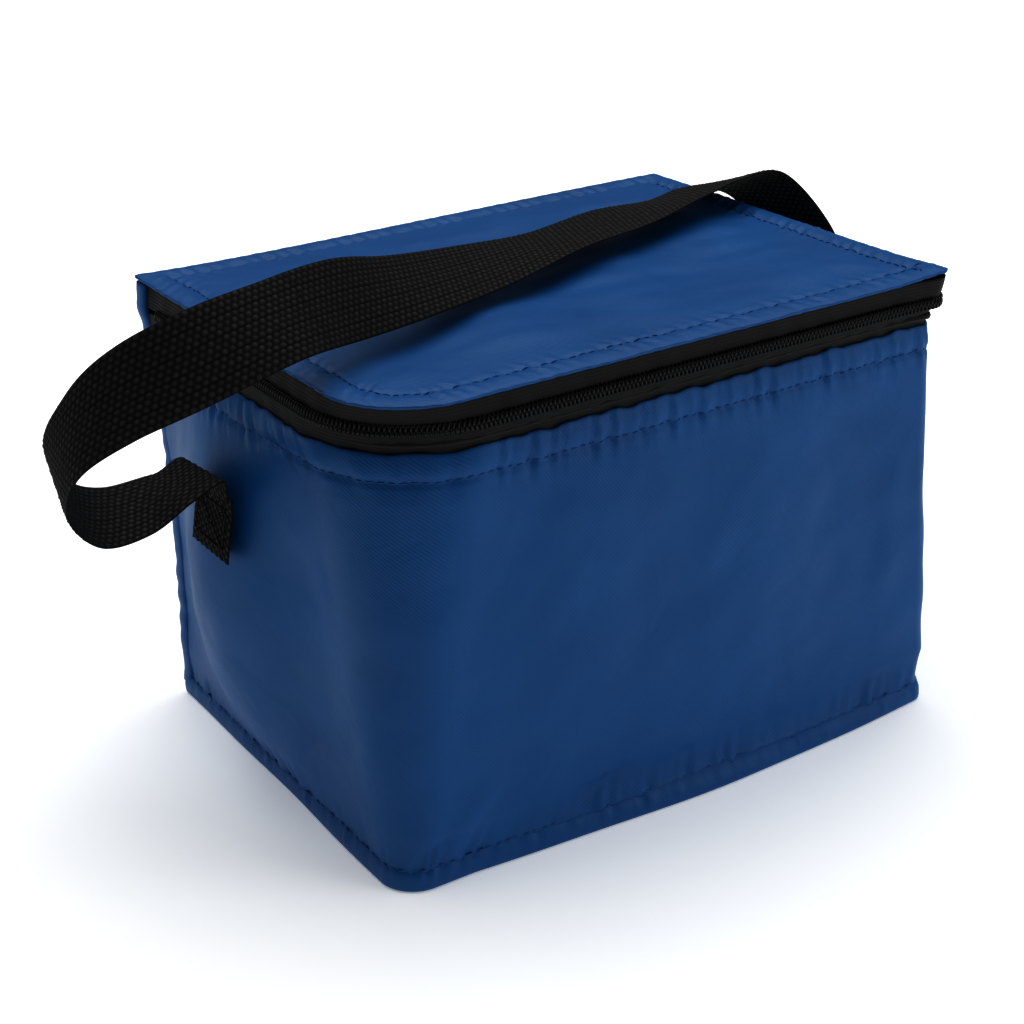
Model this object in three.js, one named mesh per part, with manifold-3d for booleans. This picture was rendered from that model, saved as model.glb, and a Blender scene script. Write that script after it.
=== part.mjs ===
// Insulated cooler bag: a sewn nylon box with foam walls, a liner, a lid on a fabric hinge,
// a coil zip round three sides and a webbing carry strap.
// Millimetres, +Z up. The origin is the middle of the flat bottom, the front faces -Y.
import * as THREE from "three";
import { mergeVertices } from "three/addons/utils/BufferGeometryUtils.js";
import Module from "manifold-3d";

// ---- driving dimensions ----
const BAG_W = 203; // along X
const BAG_D = 152; // along Y
const BAG_H = 152; // floor to lid top
const SKIN = 0.8; // outer fabric, with its backing
const TAPE = 0.7; // zip tape
const FOAM = 4; // insulation
const LINER = 0.6; // inner lining
const GAP = 0.35; // between touching pieces
const SIDE_BULGE = 16; // how far a side panel swells past its edges
const FRONT_BULGE = 3;
const SEAM_PINCH = 1.8; // how far the walls draw in above the bottom seam
const PINCH_RISE = 16; // height over which they do
const FLAT_AT_BACK = 8; // side panels stay flat this near the back
const CORNER_R_BOTTOM = 16; // front corners, in plan
const CORNER_R_MIDDLE = 24;
const CORNER_R_FOLD = 34; // at the wall's folded top edge
const CORNER_R_LID = 22;
const BAND_BELOW_LID = 18; // lid top down to the wall's folded edge
const RIM_HEIGHT = 3.8; // lid's turned-down edge
const RIM_OVERHANG = 0.6;
const ZIP_BELOW_LID = 9.8; // lid top down to the middle of the zip
const TAPE_TUCK = 6; // zip tape sewn in behind the wall's folded edge
const COIL_GAP = 1.6; // between the two coil rows, for the slider's divider
const COIL_H = 2.4;
const COIL_T = 2;
const COIL_END = 11; // coil stops this far short of the back
const END_TAB_L = 6.5; // cloth tab over each end of the coil
const HINGE_LINER_RISE = 6; // the liner climbs this much to the hinge at the back
const SEAM_H = 6.5; // outward-standing seam round the bottom
const SEAM_T = 1.6;
const SEAM_LIFT = 0.5; // the seam's lower edge is this far off the ground
const BACK_SEAM_DEPTH = 5;
const BACK_SEAM_PROUD = 1;
const STRAP_W = 25.4;
const STRAP_T = 1.4;
const STRAP_SEWN = 18; // sewn length at each end
const STRAP_STEPS = 66;
const STRAP_SEWN_BELOW_LID = 46; // lid top down to the sewn end's top edge
const STRAP_Y = 4; // sewn ends sit this far behind the middle
const STRAP_CLEAR = 0.7; // sewn ends stand this far off the panel
const SLIDER_L = 12;
const SLIDER_H = 6.8;
const PLATE_T = 1;
const SLIDER_Y = 58; // slider's middle when the zip is closed
const SLIDER_CLEAR = 0.8; // slider to the bound edge of the lining below it
const DIVIDER_SETBACK = 3;
const DIVIDER_PLAY = 0.4; // divider to each coil row
const CROWN_L = 8;
const CROWN_W = 2;
const CROWN_RISE = 3.4;
const CROWN_BAR = 1.2;
const TAB_L = 18;
const TAB_W = 7;
const TAB_T = 1;
const TAB_EYE = 0.7; // half the bar that passes under the crown
const TAB_EYE_PLAY = 0.5;
const TAB_CHAMFER = 2.2;
const TAB_SHOULDER = 0.8;
const BINDING_T = 1.7;
const LID_BINDING_T = 1.2;
const LID_BINDING_W = 3;
const BINDING_END = 19; // bindings stop this far short of the back
const OVERLAP = 0.2; // where two shapes are joined into one piece

// ---- heights and depths worked out from them ----
const HALF_W = BAG_W / 2;
const HALF_D = BAG_D / 2;
const FOLD_Z = BAG_H - BAND_BELOW_LID;
const ZIP_Z = BAG_H - ZIP_BELOW_LID;
const RIM_Z = BAG_H - RIM_HEIGHT;
const BACK_TOP_Z = RIM_Z - GAP;
const LINER_TOP_Z = ZIP_Z - SLIDER_H / 2 - SLIDER_CLEAR;
const STRAP_SEWN_TOP = BAG_H - STRAP_SEWN_BELOW_LID;
const TAPE_IN = SKIN + GAP; // insets from the outer surface of the wall
const FOAM_IN = TAPE_IN + TAPE + GAP;
const LINER_IN = FOAM_IN + FOAM + GAP;
const COIL_IN = SKIN;
const COIL_OUT = SKIN - COIL_T;
const TAPE_EDGE = COIL_GAP / 2 + 0.1; // tape's edge to the middle of the zip
const LID_PAD_IN = FOAM_IN + PLATE_T + GAP; // lets the slider's inner plate pass
const LID_FOAM_TOP = BAG_H - SKIN - GAP;
const LID_FOAM_BOTTOM = LID_FOAM_TOP - FOAM + GAP;
const LID_LINER_TOP = LID_FOAM_BOTTOM - GAP;
const BACK_SKIN_IN = SKIN + GAP;

const BLUE = { color: 0x1c4a80, roughness: 0.55, metalness: 0 };
const BLACK_CLOTH = { color: 0x141415, roughness: 0.8, metalness: 0 };
const BLACK_NYLON = { color: 0x1b1b1d, roughness: 0.4, metalness: 0 };
const BLACK_METAL = { color: 0x1d1d1f, roughness: 0.35, metalness: 0.8 };
const WHITE_FOAM = { color: 0xe9e9e4, roughness: 0.9, metalness: 0 };
const SILVER_LINER = { color: 0xc9cdd0, roughness: 0.35, metalness: 0 };

// ---- the bag's outer surface ----
const lerp = (a, b, t) => a + (b - a) * Math.min(1, Math.max(0, t));
const hump = (v, from, to) => (v <= from || v >= to ? 0 : Math.sin((Math.PI * (v - from)) / (to - from)));

// The walls are shaped at these heights and run straight between them, so that every layer nests.
const TAPE_BOTTOM = FOLD_Z - TAPE_TUCK;
const MIDDLE_KNOTS = [0.34, 0.52, 0.7, 0.84].map((share) => share * FOLD_Z);
const KNOTS = [0, SEAM_H, SEAM_H + PINCH_RISE, ...MIDDLE_KNOTS, TAPE_BOTTOM, FOLD_Z, BAG_H];
const knotBelow = (z) => Math.max(0, KNOTS.findLastIndex((knot, i) => knot <= z && i < KNOTS.length - 1));
const knotShare = (z, k) => (z - KNOTS[k]) / (KNOTS[k + 1] - KNOTS[k]);

// Plan radius of the front corners at height z.
function cornerRadius(z) {
  const middle = FOLD_Z / 2;
  if (z < middle) return lerp(CORNER_R_BOTTOM, CORNER_R_MIDDLE, z / middle);
  if (z < FOLD_Z) return lerp(CORNER_R_MIDDLE, CORNER_R_FOLD, (z - middle) / (FOLD_Z - middle));
  return lerp(CORNER_R_FOLD, CORNER_R_LID, (z - FOLD_Z) / (BAG_H - FOLD_Z));
}

// How far the walls draw in just above the bottom seam.
const pinch = (z) => lerp(SEAM_PINCH, 0, (z - SEAM_H) / PINCH_RISE);

// Swelling of the side and front panels between their edges.
const SWELL_BACK = HALF_D - FLAT_AT_BACK;
const sideSwell = (y, z) =>
  SIDE_BULGE * hump(y, CORNER_R_FOLD - HALF_D, SWELL_BACK) ** 2 * hump(z, SEAM_H, FOLD_Z);
const frontSwell = (x, z) =>
  FRONT_BULGE * hump(x, CORNER_R_FOLD - HALF_W, HALF_W - CORNER_R_FOLD) ** 2 * hump(z, SEAM_H, FOLD_Z);

// Points from the back left, forward, across the front and back to the back right, at height z,
// a distance `inset` inside the outer surface. `backY` is where both ends stop.
const SIDE_STEPS = 7;
const CORNER_STEPS = 5;
const FRONT_STEPS = 7;
function knotOutline(z, inset, backY) {
  const w = HALF_W - pinch(z);
  const d = HALF_D - pinch(z);
  const r = cornerRadius(z);
  const stations = Array.from({ length: SIDE_STEPS }, (_, i) => lerp(SWELL_BACK, r - d, i / SIDE_STEPS));
  const half = [backY, ...stations.filter((y) => y < backY - 1)]
    .map((y) => [-(w - inset + sideSwell(y, z)), y]);
  for (let i = 0; i <= CORNER_STEPS; i += 1) {
    const a = (i / CORNER_STEPS) * (Math.PI / 2);
    half.push([-(w - r) - (r - inset) * Math.cos(a), -(d - r) - (r - inset) * Math.sin(a)]);
  }
  const front = [];
  for (let i = 1; i < FRONT_STEPS; i += 1) {
    const x = lerp(r - w, w - r, i / FRONT_STEPS);
    front.push([x, -(d - inset + frontSwell(x, z))]);
  }
  const other = half.map(([x, y]) => [-x, y]).reverse();
  return [...half, ...front, ...other].map(([x, y]) => new THREE.Vector3(x, y, z));
}

function uOutline(z, inset, backY) {
  const k = knotBelow(z);
  const above = knotOutline(KNOTS[k + 1], inset, backY);
  return knotOutline(KNOTS[k], inset, backY).map((p, i) => p.lerp(above[i], knotShare(z, k)));
}

// The side panel's x at (y, z), on its outer surface.
function sideX(y, z) {
  const k = knotBelow(z);
  const at = (knot) => HALF_W - pinch(knot) + sideSwell(y, knot);
  return lerp(at(KNOTS[k]), at(KNOTS[k + 1]), knotShare(z, k));
}

// ---- solids ----
function geometryOf(points, faces) {
  const geometry = new THREE.BufferGeometry();
  const numbers = points.flatMap((p) => [p.x, p.y, p.z]);
  geometry.setAttribute("position", new THREE.Float32BufferAttribute(numbers, 3));
  geometry.setIndex(faces.flat());
  geometry.computeVertexNormals();
  return geometry;
}

// A thick sheet between two grids of rows: `outer` faces out, `inner` faces in.
function sheet(outer, inner) {
  const rows = outer.length;
  const columns = outer[0].length;
  const points = [...outer.flat(), ...inner.flat()];
  const o = (i, j) => i * columns + j;
  const n = (i, j) => rows * columns + i * columns + j;
  const faces = [];
  const quad = (a, b, c, d) => faces.push([a, b, c], [a, c, d]);
  for (let i = 0; i + 1 < rows; i += 1) {
    for (let j = 0; j + 1 < columns; j += 1) {
      quad(o(i, j), o(i, j + 1), o(i + 1, j + 1), o(i + 1, j));
      quad(n(i, j), n(i + 1, j), n(i + 1, j + 1), n(i, j + 1));
    }
    quad(o(i, 0), o(i + 1, 0), n(i + 1, 0), n(i, 0));
    const e = columns - 1;
    quad(o(i, e), n(i, e), n(i + 1, e), o(i + 1, e));
  }
  for (let j = 0; j + 1 < columns; j += 1) {
    quad(o(0, j), n(0, j), n(0, j + 1), o(0, j + 1));
    const e = rows - 1;
    quad(o(e, j), o(e, j + 1), n(e, j + 1), n(e, j));
  }
  return geometryOf(points, faces);
}

// A closed shell of rings: `outer` from the open edge to its cap, `inner` the same way inside it.
// With no cap it is an open ring.
function shell(outer, inner, capped = true) {
  const count = outer[0].length;
  const points = [...outer.flat(), ...inner.flat()];
  const faces = [];
  const ring = (start, k, j) => start + k * count + (j % count);
  const quad = (a, b, c, d) => faces.push([a, b, c], [a, c, d]);
  const innerStart = outer.length * count;
  for (let k = 0; k + 1 < outer.length; k += 1) {
    for (let j = 0; j < count; j += 1) {
      quad(ring(0, k + 1, j), ring(0, k + 1, j + 1), ring(0, k, j + 1), ring(0, k, j));
    }
  }
  for (let k = 0; k + 1 < inner.length; k += 1) {
    for (let j = 0; j < count; j += 1) {
      quad(ring(innerStart, k, j + 1), ring(innerStart, k + 1, j + 1),
        ring(innerStart, k + 1, j), ring(innerStart, k, j));
    }
  }
  const cap = (rings, start, flip) => {
    const k = rings.length - 1;
    const middle = rings[k].reduce((s, p) => s.add(p), new THREE.Vector3()).multiplyScalar(1 / count);
    points.push(middle);
    for (let j = 0; j < count; j += 1) {
      const edge = [ring(start, k, j), ring(start, k, j + 1)];
      faces.push(flip ? [edge[1], edge[0], points.length - 1] : [...edge, points.length - 1]);
    }
  };
  for (let j = 0; j < count; j += 1) {
    quad(ring(0, 0, j), ring(0, 0, j + 1), ring(innerStart, 0, j + 1), ring(innerStart, 0, j));
  }
  if (capped) {
    cap(outer, 0, true);
    cap(inner, innerStart, false);
  } else {
    const k = outer.length - 1;
    for (let j = 0; j < count; j += 1) {
      quad(ring(0, k, j), ring(innerStart, k, j), ring(innerStart, k, j + 1), ring(0, k, j + 1));
    }
  }
  return geometryOf(points, faces);
}

// Closed rings run the same way as uOutline, with a straight back between the two ends.
const flipped = (geometry) => {
  const index = geometry.getIndex().array;
  for (let i = 0; i < index.length; i += 3) {
    const second = index[i + 1];
    index[i + 1] = index[i + 2];
    index[i + 2] = second;
  }
  geometry.computeVertexNormals();
  return geometry;
};

const levels = (from, to, steps) => Array.from({ length: steps + 1 }, (_, i) => lerp(from, to, i / steps));
const wallLevels = (from, to) => [from, ...KNOTS.filter((z) => z > from + 0.5 && z < to - 0.5), to];

// A wall round the sides and front between two insets.
function uWall(from, to, outerInset, innerInset, backY) {
  const rows = wallLevels(from, to);
  return sheet(
    rows.map((z) => uOutline(z, outerInset, backY)),
    rows.map((z) => uOutline(z, innerInset, backY)),
  );
}

function slab(from, to, inset, backY) {
  const rows = [from, to];
  const top = uOutline(to, inset, backY);
  const bottom = uOutline(from, inset, backY);
  const count = top.length;
  const points = [...bottom, ...top];
  const faces = [];
  for (let j = 0; j < count; j += 1) {
    const next = (j + 1) % count;
    faces.push([j, next, count + next], [j, count + next, count + j]);
  }
  rows.forEach((z, k) => {
    points.push(new THREE.Vector3(0, 0, z));
    for (let j = 0; j < count; j += 1) {
      const next = (j + 1) % count;
      const middle = points.length - 1;
      faces.push(k ? [count + j, count + next, middle] : [next, j, middle]);
    }
  });
  return geometryOf(points, faces);
}

function block(x0, x1, y0, y1, z0, z1) {
  const geometry = new THREE.BoxGeometry(x1 - x0, y1 - y0, z1 - z0);
  geometry.translate((x0 + x1) / 2, (y0 + y1) / 2, (z0 + z1) / 2);
  return geometry;
}

// A flat upright panel in the back, whose width follows the walls.
function backPanel(from, to, frontY, rearY, inset) {
  const row = (z, y) => {
    const x = sideX(SWELL_BACK, z) - inset;
    return [-x, 0, x].map((v) => new THREE.Vector3(v, y, z));
  };
  const rows = wallLevels(from, to).filter((z) => z < FOLD_Z / 4 || z > FOLD_Z);
  return sheet(rows.map((z) => row(z, frontY)), rows.map((z) => row(z, rearY)));
}

// ---- joining solids ----
const wasm = await Module();
wasm.setup();

function solidOf(geometry) {
  const bare = geometry.clone();
  bare.deleteAttribute("normal");
  bare.deleteAttribute("uv");
  const merged = mergeVertices(bare, 1e-4);
  return new wasm.Manifold(
    new wasm.Mesh({
      numProp: 3,
      vertProperties: new Float32Array(merged.attributes.position.array),
      triVerts: new Uint32Array(merged.index.array),
    }),
  );
}

function joined(geometries) {
  const solid = geometries.map(solidOf).reduce((all, next) => all.add(next));
  const mesh = solid.getMesh();
  const geometry = new THREE.BufferGeometry();
  geometry.setAttribute("position", new THREE.BufferAttribute(new Float32Array(mesh.vertProperties), 3));
  geometry.setIndex(new THREE.BufferAttribute(new Uint32Array(mesh.triVerts), 1));
  geometry.computeVertexNormals();
  return geometry;
}

// ---- bag body ----
const bag = new THREE.Group();
const lid = new THREE.Group();
const strap = new THREE.Group();
const zip = new THREE.Group();

function add(group, name, geometry, look) {
  const mesh = new THREE.Mesh(geometry, new THREE.MeshStandardMaterial(look));
  mesh.name = name;
  group.add(mesh);
}

function addBody() {
  const insideBack = HALF_D - BACK_SKIN_IN;
  const foamBack = insideBack - FOAM - GAP;
  const bottomTop = SKIN + GAP;
  add(bag, "bottom_panel", slab(0, SKIN, 0, HALF_D), BLUE);
  add(bag, "outer_wall_wrap", uWall(bottomTop, FOLD_Z, 0, SKIN, insideBack), BLUE);
  add(bag, "back_panel", backPanel(bottomTop, BACK_TOP_Z, HALF_D - SKIN, HALF_D, 0), BLUE);
  add(bag, "wall_foam", uWall(bottomTop, LINER_TOP_Z - BINDING_T - GAP,
    FOAM_IN, FOAM_IN + FOAM, foamBack), WHITE_FOAM);
  add(bag, "back_foam", backPanel(bottomTop, LINER_TOP_Z + HINGE_LINER_RISE,
    insideBack - FOAM, insideBack, FOAM_IN), WHITE_FOAM);
  add(bag, "bottom_foam", slab(bottomTop, bottomTop + FOAM, LINER_IN, foamBack - LINER), WHITE_FOAM);
}

// The lining is one welded tub. Its top edge climbs to the hinge at the back.
function addLiner() {
  const floor = SKIN + GAP + FOAM + GAP;
  const back = HALF_D - BACK_SKIN_IN - FOAM - GAP;
  const climbStart = 0.4;
  const climb = (y, backY) => {
    if (y > backY - GAP) return HINGE_LINER_RISE;
    return y > SWELL_BACK - GAP ? HINGE_LINER_RISE * climbStart : 0;
  };
  const rings = (bottom, inset, backY) => wallLevels(bottom, LINER_TOP_Z).reverse().map((z, k) => {
    const level = uOutline(z, inset, backY);
    if (k === 0) level.forEach((p) => p.setZ(z + climb(p.y, backY)));
    return level;
  });
  const outer = rings(floor, LINER_IN, back);
  const inner = rings(floor + LINER, LINER_IN + LINER, back - LINER);
  add(bag, "liner_tub", shell(outer, inner), SILVER_LINER);
}

// Seams that stand outside the walls, and the tape that binds the foam's top edge.
function addSeams() {
  const rise = [SEAM_LIFT, SEAM_H];
  const backEdge = HALF_D + BACK_SEAM_PROUD;
  const outer = rise.map((z) => uOutline(z, -GAP - SEAM_T, HALF_D + GAP + SEAM_T));
  const inner = rise.map((z) => uOutline(z, -GAP, HALF_D + GAP));
  add(bag, "bottom_seam", flipped(shell(outer, inner, false)), BLUE);
  for (const [side, name] of [[-1, "back_seam_left"], [1, "back_seam_right"]]) {
    const x = side * (HALF_W + GAP);
    const far = x + side * SEAM_T;
    add(bag, name, block(Math.min(x, far), Math.max(x, far),
      backEdge - BACK_SEAM_DEPTH, backEdge, SEAM_H + GAP, BACK_TOP_Z - GAP), BLUE);
  }
  add(bag, "body_top_binding", uWall(LINER_TOP_Z - BINDING_T, LINER_TOP_Z,
    FOAM_IN, FOAM_IN + FOAM, HALF_D - BINDING_END), BLACK_CLOTH);
}

// ---- zip ----
function addZip() {
  const tapeBack = HALF_D - BACK_SKIN_IN - GAP;
  const coilBack = HALF_D - COIL_END;
  const halfGap = COIL_GAP / 2;
  const lidTuck = RIM_Z + RIM_HEIGHT / 2;
  const tape = (from, to) => uWall(from, to, TAPE_IN, TAPE_IN + TAPE, tapeBack);
  const coil = (from) => uWall(from, from + COIL_H, COIL_OUT, COIL_IN, coilBack);
  add(bag, "body_zip_tape", tape(TAPE_BOTTOM, ZIP_Z - TAPE_EDGE), BLACK_CLOTH);
  add(bag, "body_zip_coil", coil(ZIP_Z - halfGap - COIL_H), BLACK_NYLON);
  add(lid, "lid_zip_tape", tape(ZIP_Z + TAPE_EDGE, lidTuck), BLACK_CLOTH);
  add(lid, "lid_zip_coil", coil(ZIP_Z + halfGap), BLACK_NYLON);
  for (const [side, name] of [[-1, "zip_end_tab_left"], [1, "zip_end_tab_right"]]) {
    const x = side * (HALF_W - SKIN);
    const far = side * HALF_W;
    add(bag, name, block(Math.min(x, far), Math.max(x, far),
      coilBack + GAP, coilBack + GAP + END_TAB_L, FOLD_Z + GAP, ZIP_Z - TAPE_EDGE), BLACK_CLOTH);
  }
}

// The slider runs on the right side: two plates joined by a divider between the coil rows,
// and a crown outside that holds the pull tab.
function addSlider() {
  const outerFace = HALF_W - COIL_OUT + GAP;
  const plateFace = outerFace + PLATE_T;
  const innerFace = HALF_W - FOAM_IN;
  const y0 = SLIDER_Y - SLIDER_L / 2;
  const y1 = SLIDER_Y + SLIDER_L / 2;
  const z0 = ZIP_Z - SLIDER_H / 2;
  const z1 = ZIP_Z + SLIDER_H / 2;
  const divider = COIL_GAP / 2 - DIVIDER_PLAY;
  const crownTop = plateFace + CROWN_RISE;
  const crown = (x, from, to) => block(x, crownTop, SLIDER_Y + from, SLIDER_Y + to,
    ZIP_Z - CROWN_W / 2, ZIP_Z + CROWN_W / 2);
  add(zip, "zip_slider", joined([
    block(outerFace, plateFace, y0, y1, z0, z1),
    block(innerFace - PLATE_T, innerFace, y0, y1, z0, z1),
    block(innerFace - OVERLAP, outerFace + OVERLAP, y0 + DIVIDER_SETBACK, y1 - DIVIDER_SETBACK,
      ZIP_Z - divider, ZIP_Z + divider),
    crown(plateFace - OVERLAP, -CROWN_L / 2, CROWN_BAR - CROWN_L / 2),
    crown(plateFace - OVERLAP, CROWN_L / 2 - CROWN_BAR, CROWN_L / 2),
    crown(crownTop - CROWN_BAR, -CROWN_L / 2, CROWN_L / 2),
  ]), BLACK_METAL);
  // The tab lies forward along the zip. Its window rides over the crown, its crossbar under it.
  const half = TAB_W / 2;
  const windowHalf = CROWN_W / 2 + TAB_EYE_PLAY;
  const edge = [
    [TAB_EYE, half - TAB_EYE],
    [0, half],
    [TAB_CHAMFER - TAB_L, half - TAB_SHOULDER],
    [-TAB_L, half - TAB_CHAMFER],
  ];
  const mirrored = edge.map(([along, out]) => [along, -out]).reverse();
  const tab = new THREE.Shape([...edge, ...mirrored].map(([along, out]) => new THREE.Vector2(along, out)));
  const window = new THREE.Path([
    new THREE.Vector2(-TAB_EYE, -windowHalf),
    new THREE.Vector2(-TAB_EYE, windowHalf),
    new THREE.Vector2(TAB_EYE_PLAY - CROWN_L, windowHalf),
    new THREE.Vector2(TAB_EYE_PLAY - CROWN_L, -windowHalf),
  ]);
  tab.holes.push(window);
  const geometry = new THREE.ExtrudeGeometry(tab, { depth: TAB_T, bevelEnabled: false });
  geometry.applyMatrix4(new THREE.Matrix4().makeBasis(
    new THREE.Vector3(0, 1, 0), new THREE.Vector3(0, 0, 1), new THREE.Vector3(1, 0, 0)));
  const slack = (CROWN_RISE - CROWN_BAR - TAB_T) / 2;
  geometry.translate(plateFace + slack, SLIDER_Y, ZIP_Z);
  const pull = new THREE.Group();
  add(pull, "zip_pull_tab", geometry, BLACK_METAL);
  zip.add(pull);
}

// ---- lid ----
function addLid() {
  const outer = [RIM_Z, BAG_H].map((z) => uOutline(z, -RIM_OVERHANG, HALF_D));
  const inner = [RIM_Z, BAG_H - SKIN].map((z) => uOutline(z, SKIN - RIM_OVERHANG, HALF_D - SKIN));
  add(lid, "lid_panel", flipped(shell(outer, inner)), BLUE);
  const pad = (from, to) => slab(from, to, LID_PAD_IN, HALF_D - BACK_SKIN_IN);
  add(lid, "lid_foam", pad(LID_FOAM_BOTTOM, LID_FOAM_TOP), WHITE_FOAM);
  add(lid, "lid_liner", pad(LID_LINER_TOP - LINER, LID_LINER_TOP), SILVER_LINER);
  const bindingTop = LID_LINER_TOP - LINER - GAP;
  const bindingIn = LID_PAD_IN + GAP;
  add(lid, "lid_edge_binding", uWall(bindingTop - LID_BINDING_T, bindingTop,
    bindingIn, bindingIn + LID_BINDING_W, HALF_D - BINDING_END), BLACK_CLOTH);
}

// ---- carry strap ----
// A sewn end lies on the swollen side panel.
function sewnEnd(side) {
  const rows = levels(STRAP_SEWN_TOP - STRAP_SEWN, STRAP_SEWN_TOP, 4);
  const across = levels(STRAP_Y - STRAP_W / 2, STRAP_Y + STRAP_W / 2, 5);
  const face = (out) => rows.map((z) => across.map((y) =>
    new THREE.Vector3(side * (sideX(y, z) + out), y, z)));
  const solid = sheet(face(STRAP_CLEAR + STRAP_T), face(STRAP_CLEAR));
  return side > 0 ? solid : flipped(solid);
}

// The free strap's run: middle of the webbing as [x, y, z], then the way its width points, from
// the front edge to the back one. It stands slack: out to the left in a loop, over the lid, and
// down the right side. The points suit a bag of the RUN_ sizes, and fitRun moves them to this one.
const RUN_W = 203;
const RUN_D = 152;
const RUN_H = 152;
const RUN_PANEL = 110.8; // side panel's x where the strap is sewn on
const STRAP_RUN = [
  [-115, 3, 107, 0, 10, 0],
  [-117, 3, 114, -1, 10, 0],
  [-127, 1, 112, -1, 10, 0],
  [-142, 0, 109, -2, 10, 3],
  [-157, -5, 114, 0, 8, 5],
  [-167, -15, 130, 1, 8, 6],
  [-166, -29, 147, 2, 8, 6],
  [-155, -39, 159, 0, 7, 7],
  [-136, -45, 167, -2, 5, 9],
  [-110, -42, 171, -2, 7, 7],
  [-83, -31, 169, -2, 6, 8],
  [-55, -20, 165, -2, 8, 5],
  [-25, -9, 162, -3, 9, 3],
  [8, 1, 161, -3, 10, 0],
  [42, 12, 160, -3, 10, 0],
  [71, 21, 159, -3, 8, -2],
  [93, 28, 160, -3, 10, -3],
  [114, 31, 155, -2, 7, -4],
  [128, 24, 134, -4, 7, -5],
  [131, 13, 119, -2, 9, -5],
  [121, 5, 116, -1, 10, -2],
  [115, 4, 107, 0, 10, 0],
];

// Over the lid the run widens with the bag, and outside it keeps its distance from the side panel.
function fitRun(x, y, z) {
  const outside = Math.abs(x) - RUN_PANEL + sideX(STRAP_Y, STRAP_SEWN_TOP);
  const across = Math.abs(x) > RUN_W / 2 ? Math.sign(x) * outside : (x * BAG_W) / RUN_W;
  return new THREE.Vector3(across, (y * BAG_D) / RUN_D, z + BAG_H - RUN_H);
}

function freeStrap(steps) {
  const middles = STRAP_RUN.map(([x, y, z]) => fitRun(x, y, z));
  const widths = STRAP_RUN.map(([, , , x, y, z]) => new THREE.Vector3(x, y, z).normalize());
  const run = new THREE.CatmullRomCurve3(middles, false, "catmullrom", 0.5);
  const turn = new THREE.CatmullRomCurve3(widths, false, "catmullrom", 0.5);
  const top = [];
  const under = [];
  for (let i = 0; i <= steps; i += 1) {
    const middle = run.getPoint(i / steps);
    const along = run.getTangent(i / steps);
    const across = turn.getPoint(i / steps);
    across.addScaledVector(along, -across.dot(along)).normalize();
    const face = new THREE.Vector3().crossVectors(across, along).normalize();
    const edge = (side, lift) => middle.clone()
      .addScaledVector(across, side * STRAP_W / 2).addScaledVector(face, lift * STRAP_T / 2);
    top.push([edge(-1, 1), edge(1, 1)]);
    under.push([edge(-1, -1), edge(1, -1)]);
  }
  return sheet(top, under);
}

addBody();
addLiner();
addSeams();
addZip();
addSlider();
addLid();
add(bag, "strap_end_left", sewnEnd(-1), BLACK_CLOTH);
add(bag, "strap_end_right", sewnEnd(1), BLACK_CLOTH);
add(strap, "carry_strap", freeStrap(STRAP_STEPS), BLACK_CLOTH);

lid.add(strap);
bag.add(lid, zip);
export default bag;
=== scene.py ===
# %% [markdown]
# # A small insulated cooler bag
#
# The bag is sewn from thin nylon over sheets of foam. A coil zip runs round the front and both
# sides, the lid turns on a cloth hinge at the back, and a loop of black webbing carries it.
# The CAD frame holds the true sizes, the hidden foam and the joints. Each cell below dresses one
# piece of that frame: first the small tools, then the cloth body, the lid, the zip, the webbing
# and the inside, and last the studio.

# %% Load the frame
import math

import bpy
import numpy as np
from mathutils import Matrix, Vector
from mathutils.kdtree import KDTree


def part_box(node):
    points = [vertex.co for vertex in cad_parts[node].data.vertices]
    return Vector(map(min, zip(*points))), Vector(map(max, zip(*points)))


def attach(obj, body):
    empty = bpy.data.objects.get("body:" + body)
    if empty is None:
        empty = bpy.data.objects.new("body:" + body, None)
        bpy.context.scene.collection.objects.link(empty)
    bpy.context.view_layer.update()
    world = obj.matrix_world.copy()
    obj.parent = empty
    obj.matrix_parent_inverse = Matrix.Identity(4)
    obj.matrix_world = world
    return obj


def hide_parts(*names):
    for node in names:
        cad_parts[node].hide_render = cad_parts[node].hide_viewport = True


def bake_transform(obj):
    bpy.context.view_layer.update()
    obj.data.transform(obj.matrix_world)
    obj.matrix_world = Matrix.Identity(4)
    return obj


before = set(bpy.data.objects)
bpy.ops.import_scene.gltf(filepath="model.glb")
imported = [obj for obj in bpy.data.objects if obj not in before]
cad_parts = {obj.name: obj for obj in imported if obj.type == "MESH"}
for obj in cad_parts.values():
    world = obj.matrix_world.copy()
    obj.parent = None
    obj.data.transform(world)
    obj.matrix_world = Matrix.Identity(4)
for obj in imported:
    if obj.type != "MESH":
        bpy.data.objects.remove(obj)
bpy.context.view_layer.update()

MM = 0.001
print("CAD nodes:", len(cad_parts))

# %% [markdown]
# ## Sizes taken from the frame
#
# The frame's own boxes say how wide, deep and tall the bag is and where the zip runs, so the
# cloth is measured from them. Everything in this file is in millimetres until a mesh is made.


# %% Read the main sizes
def box_mm(name):
    low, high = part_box(name)
    return [v / MM for v in low], [v / MM for v in high]


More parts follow.
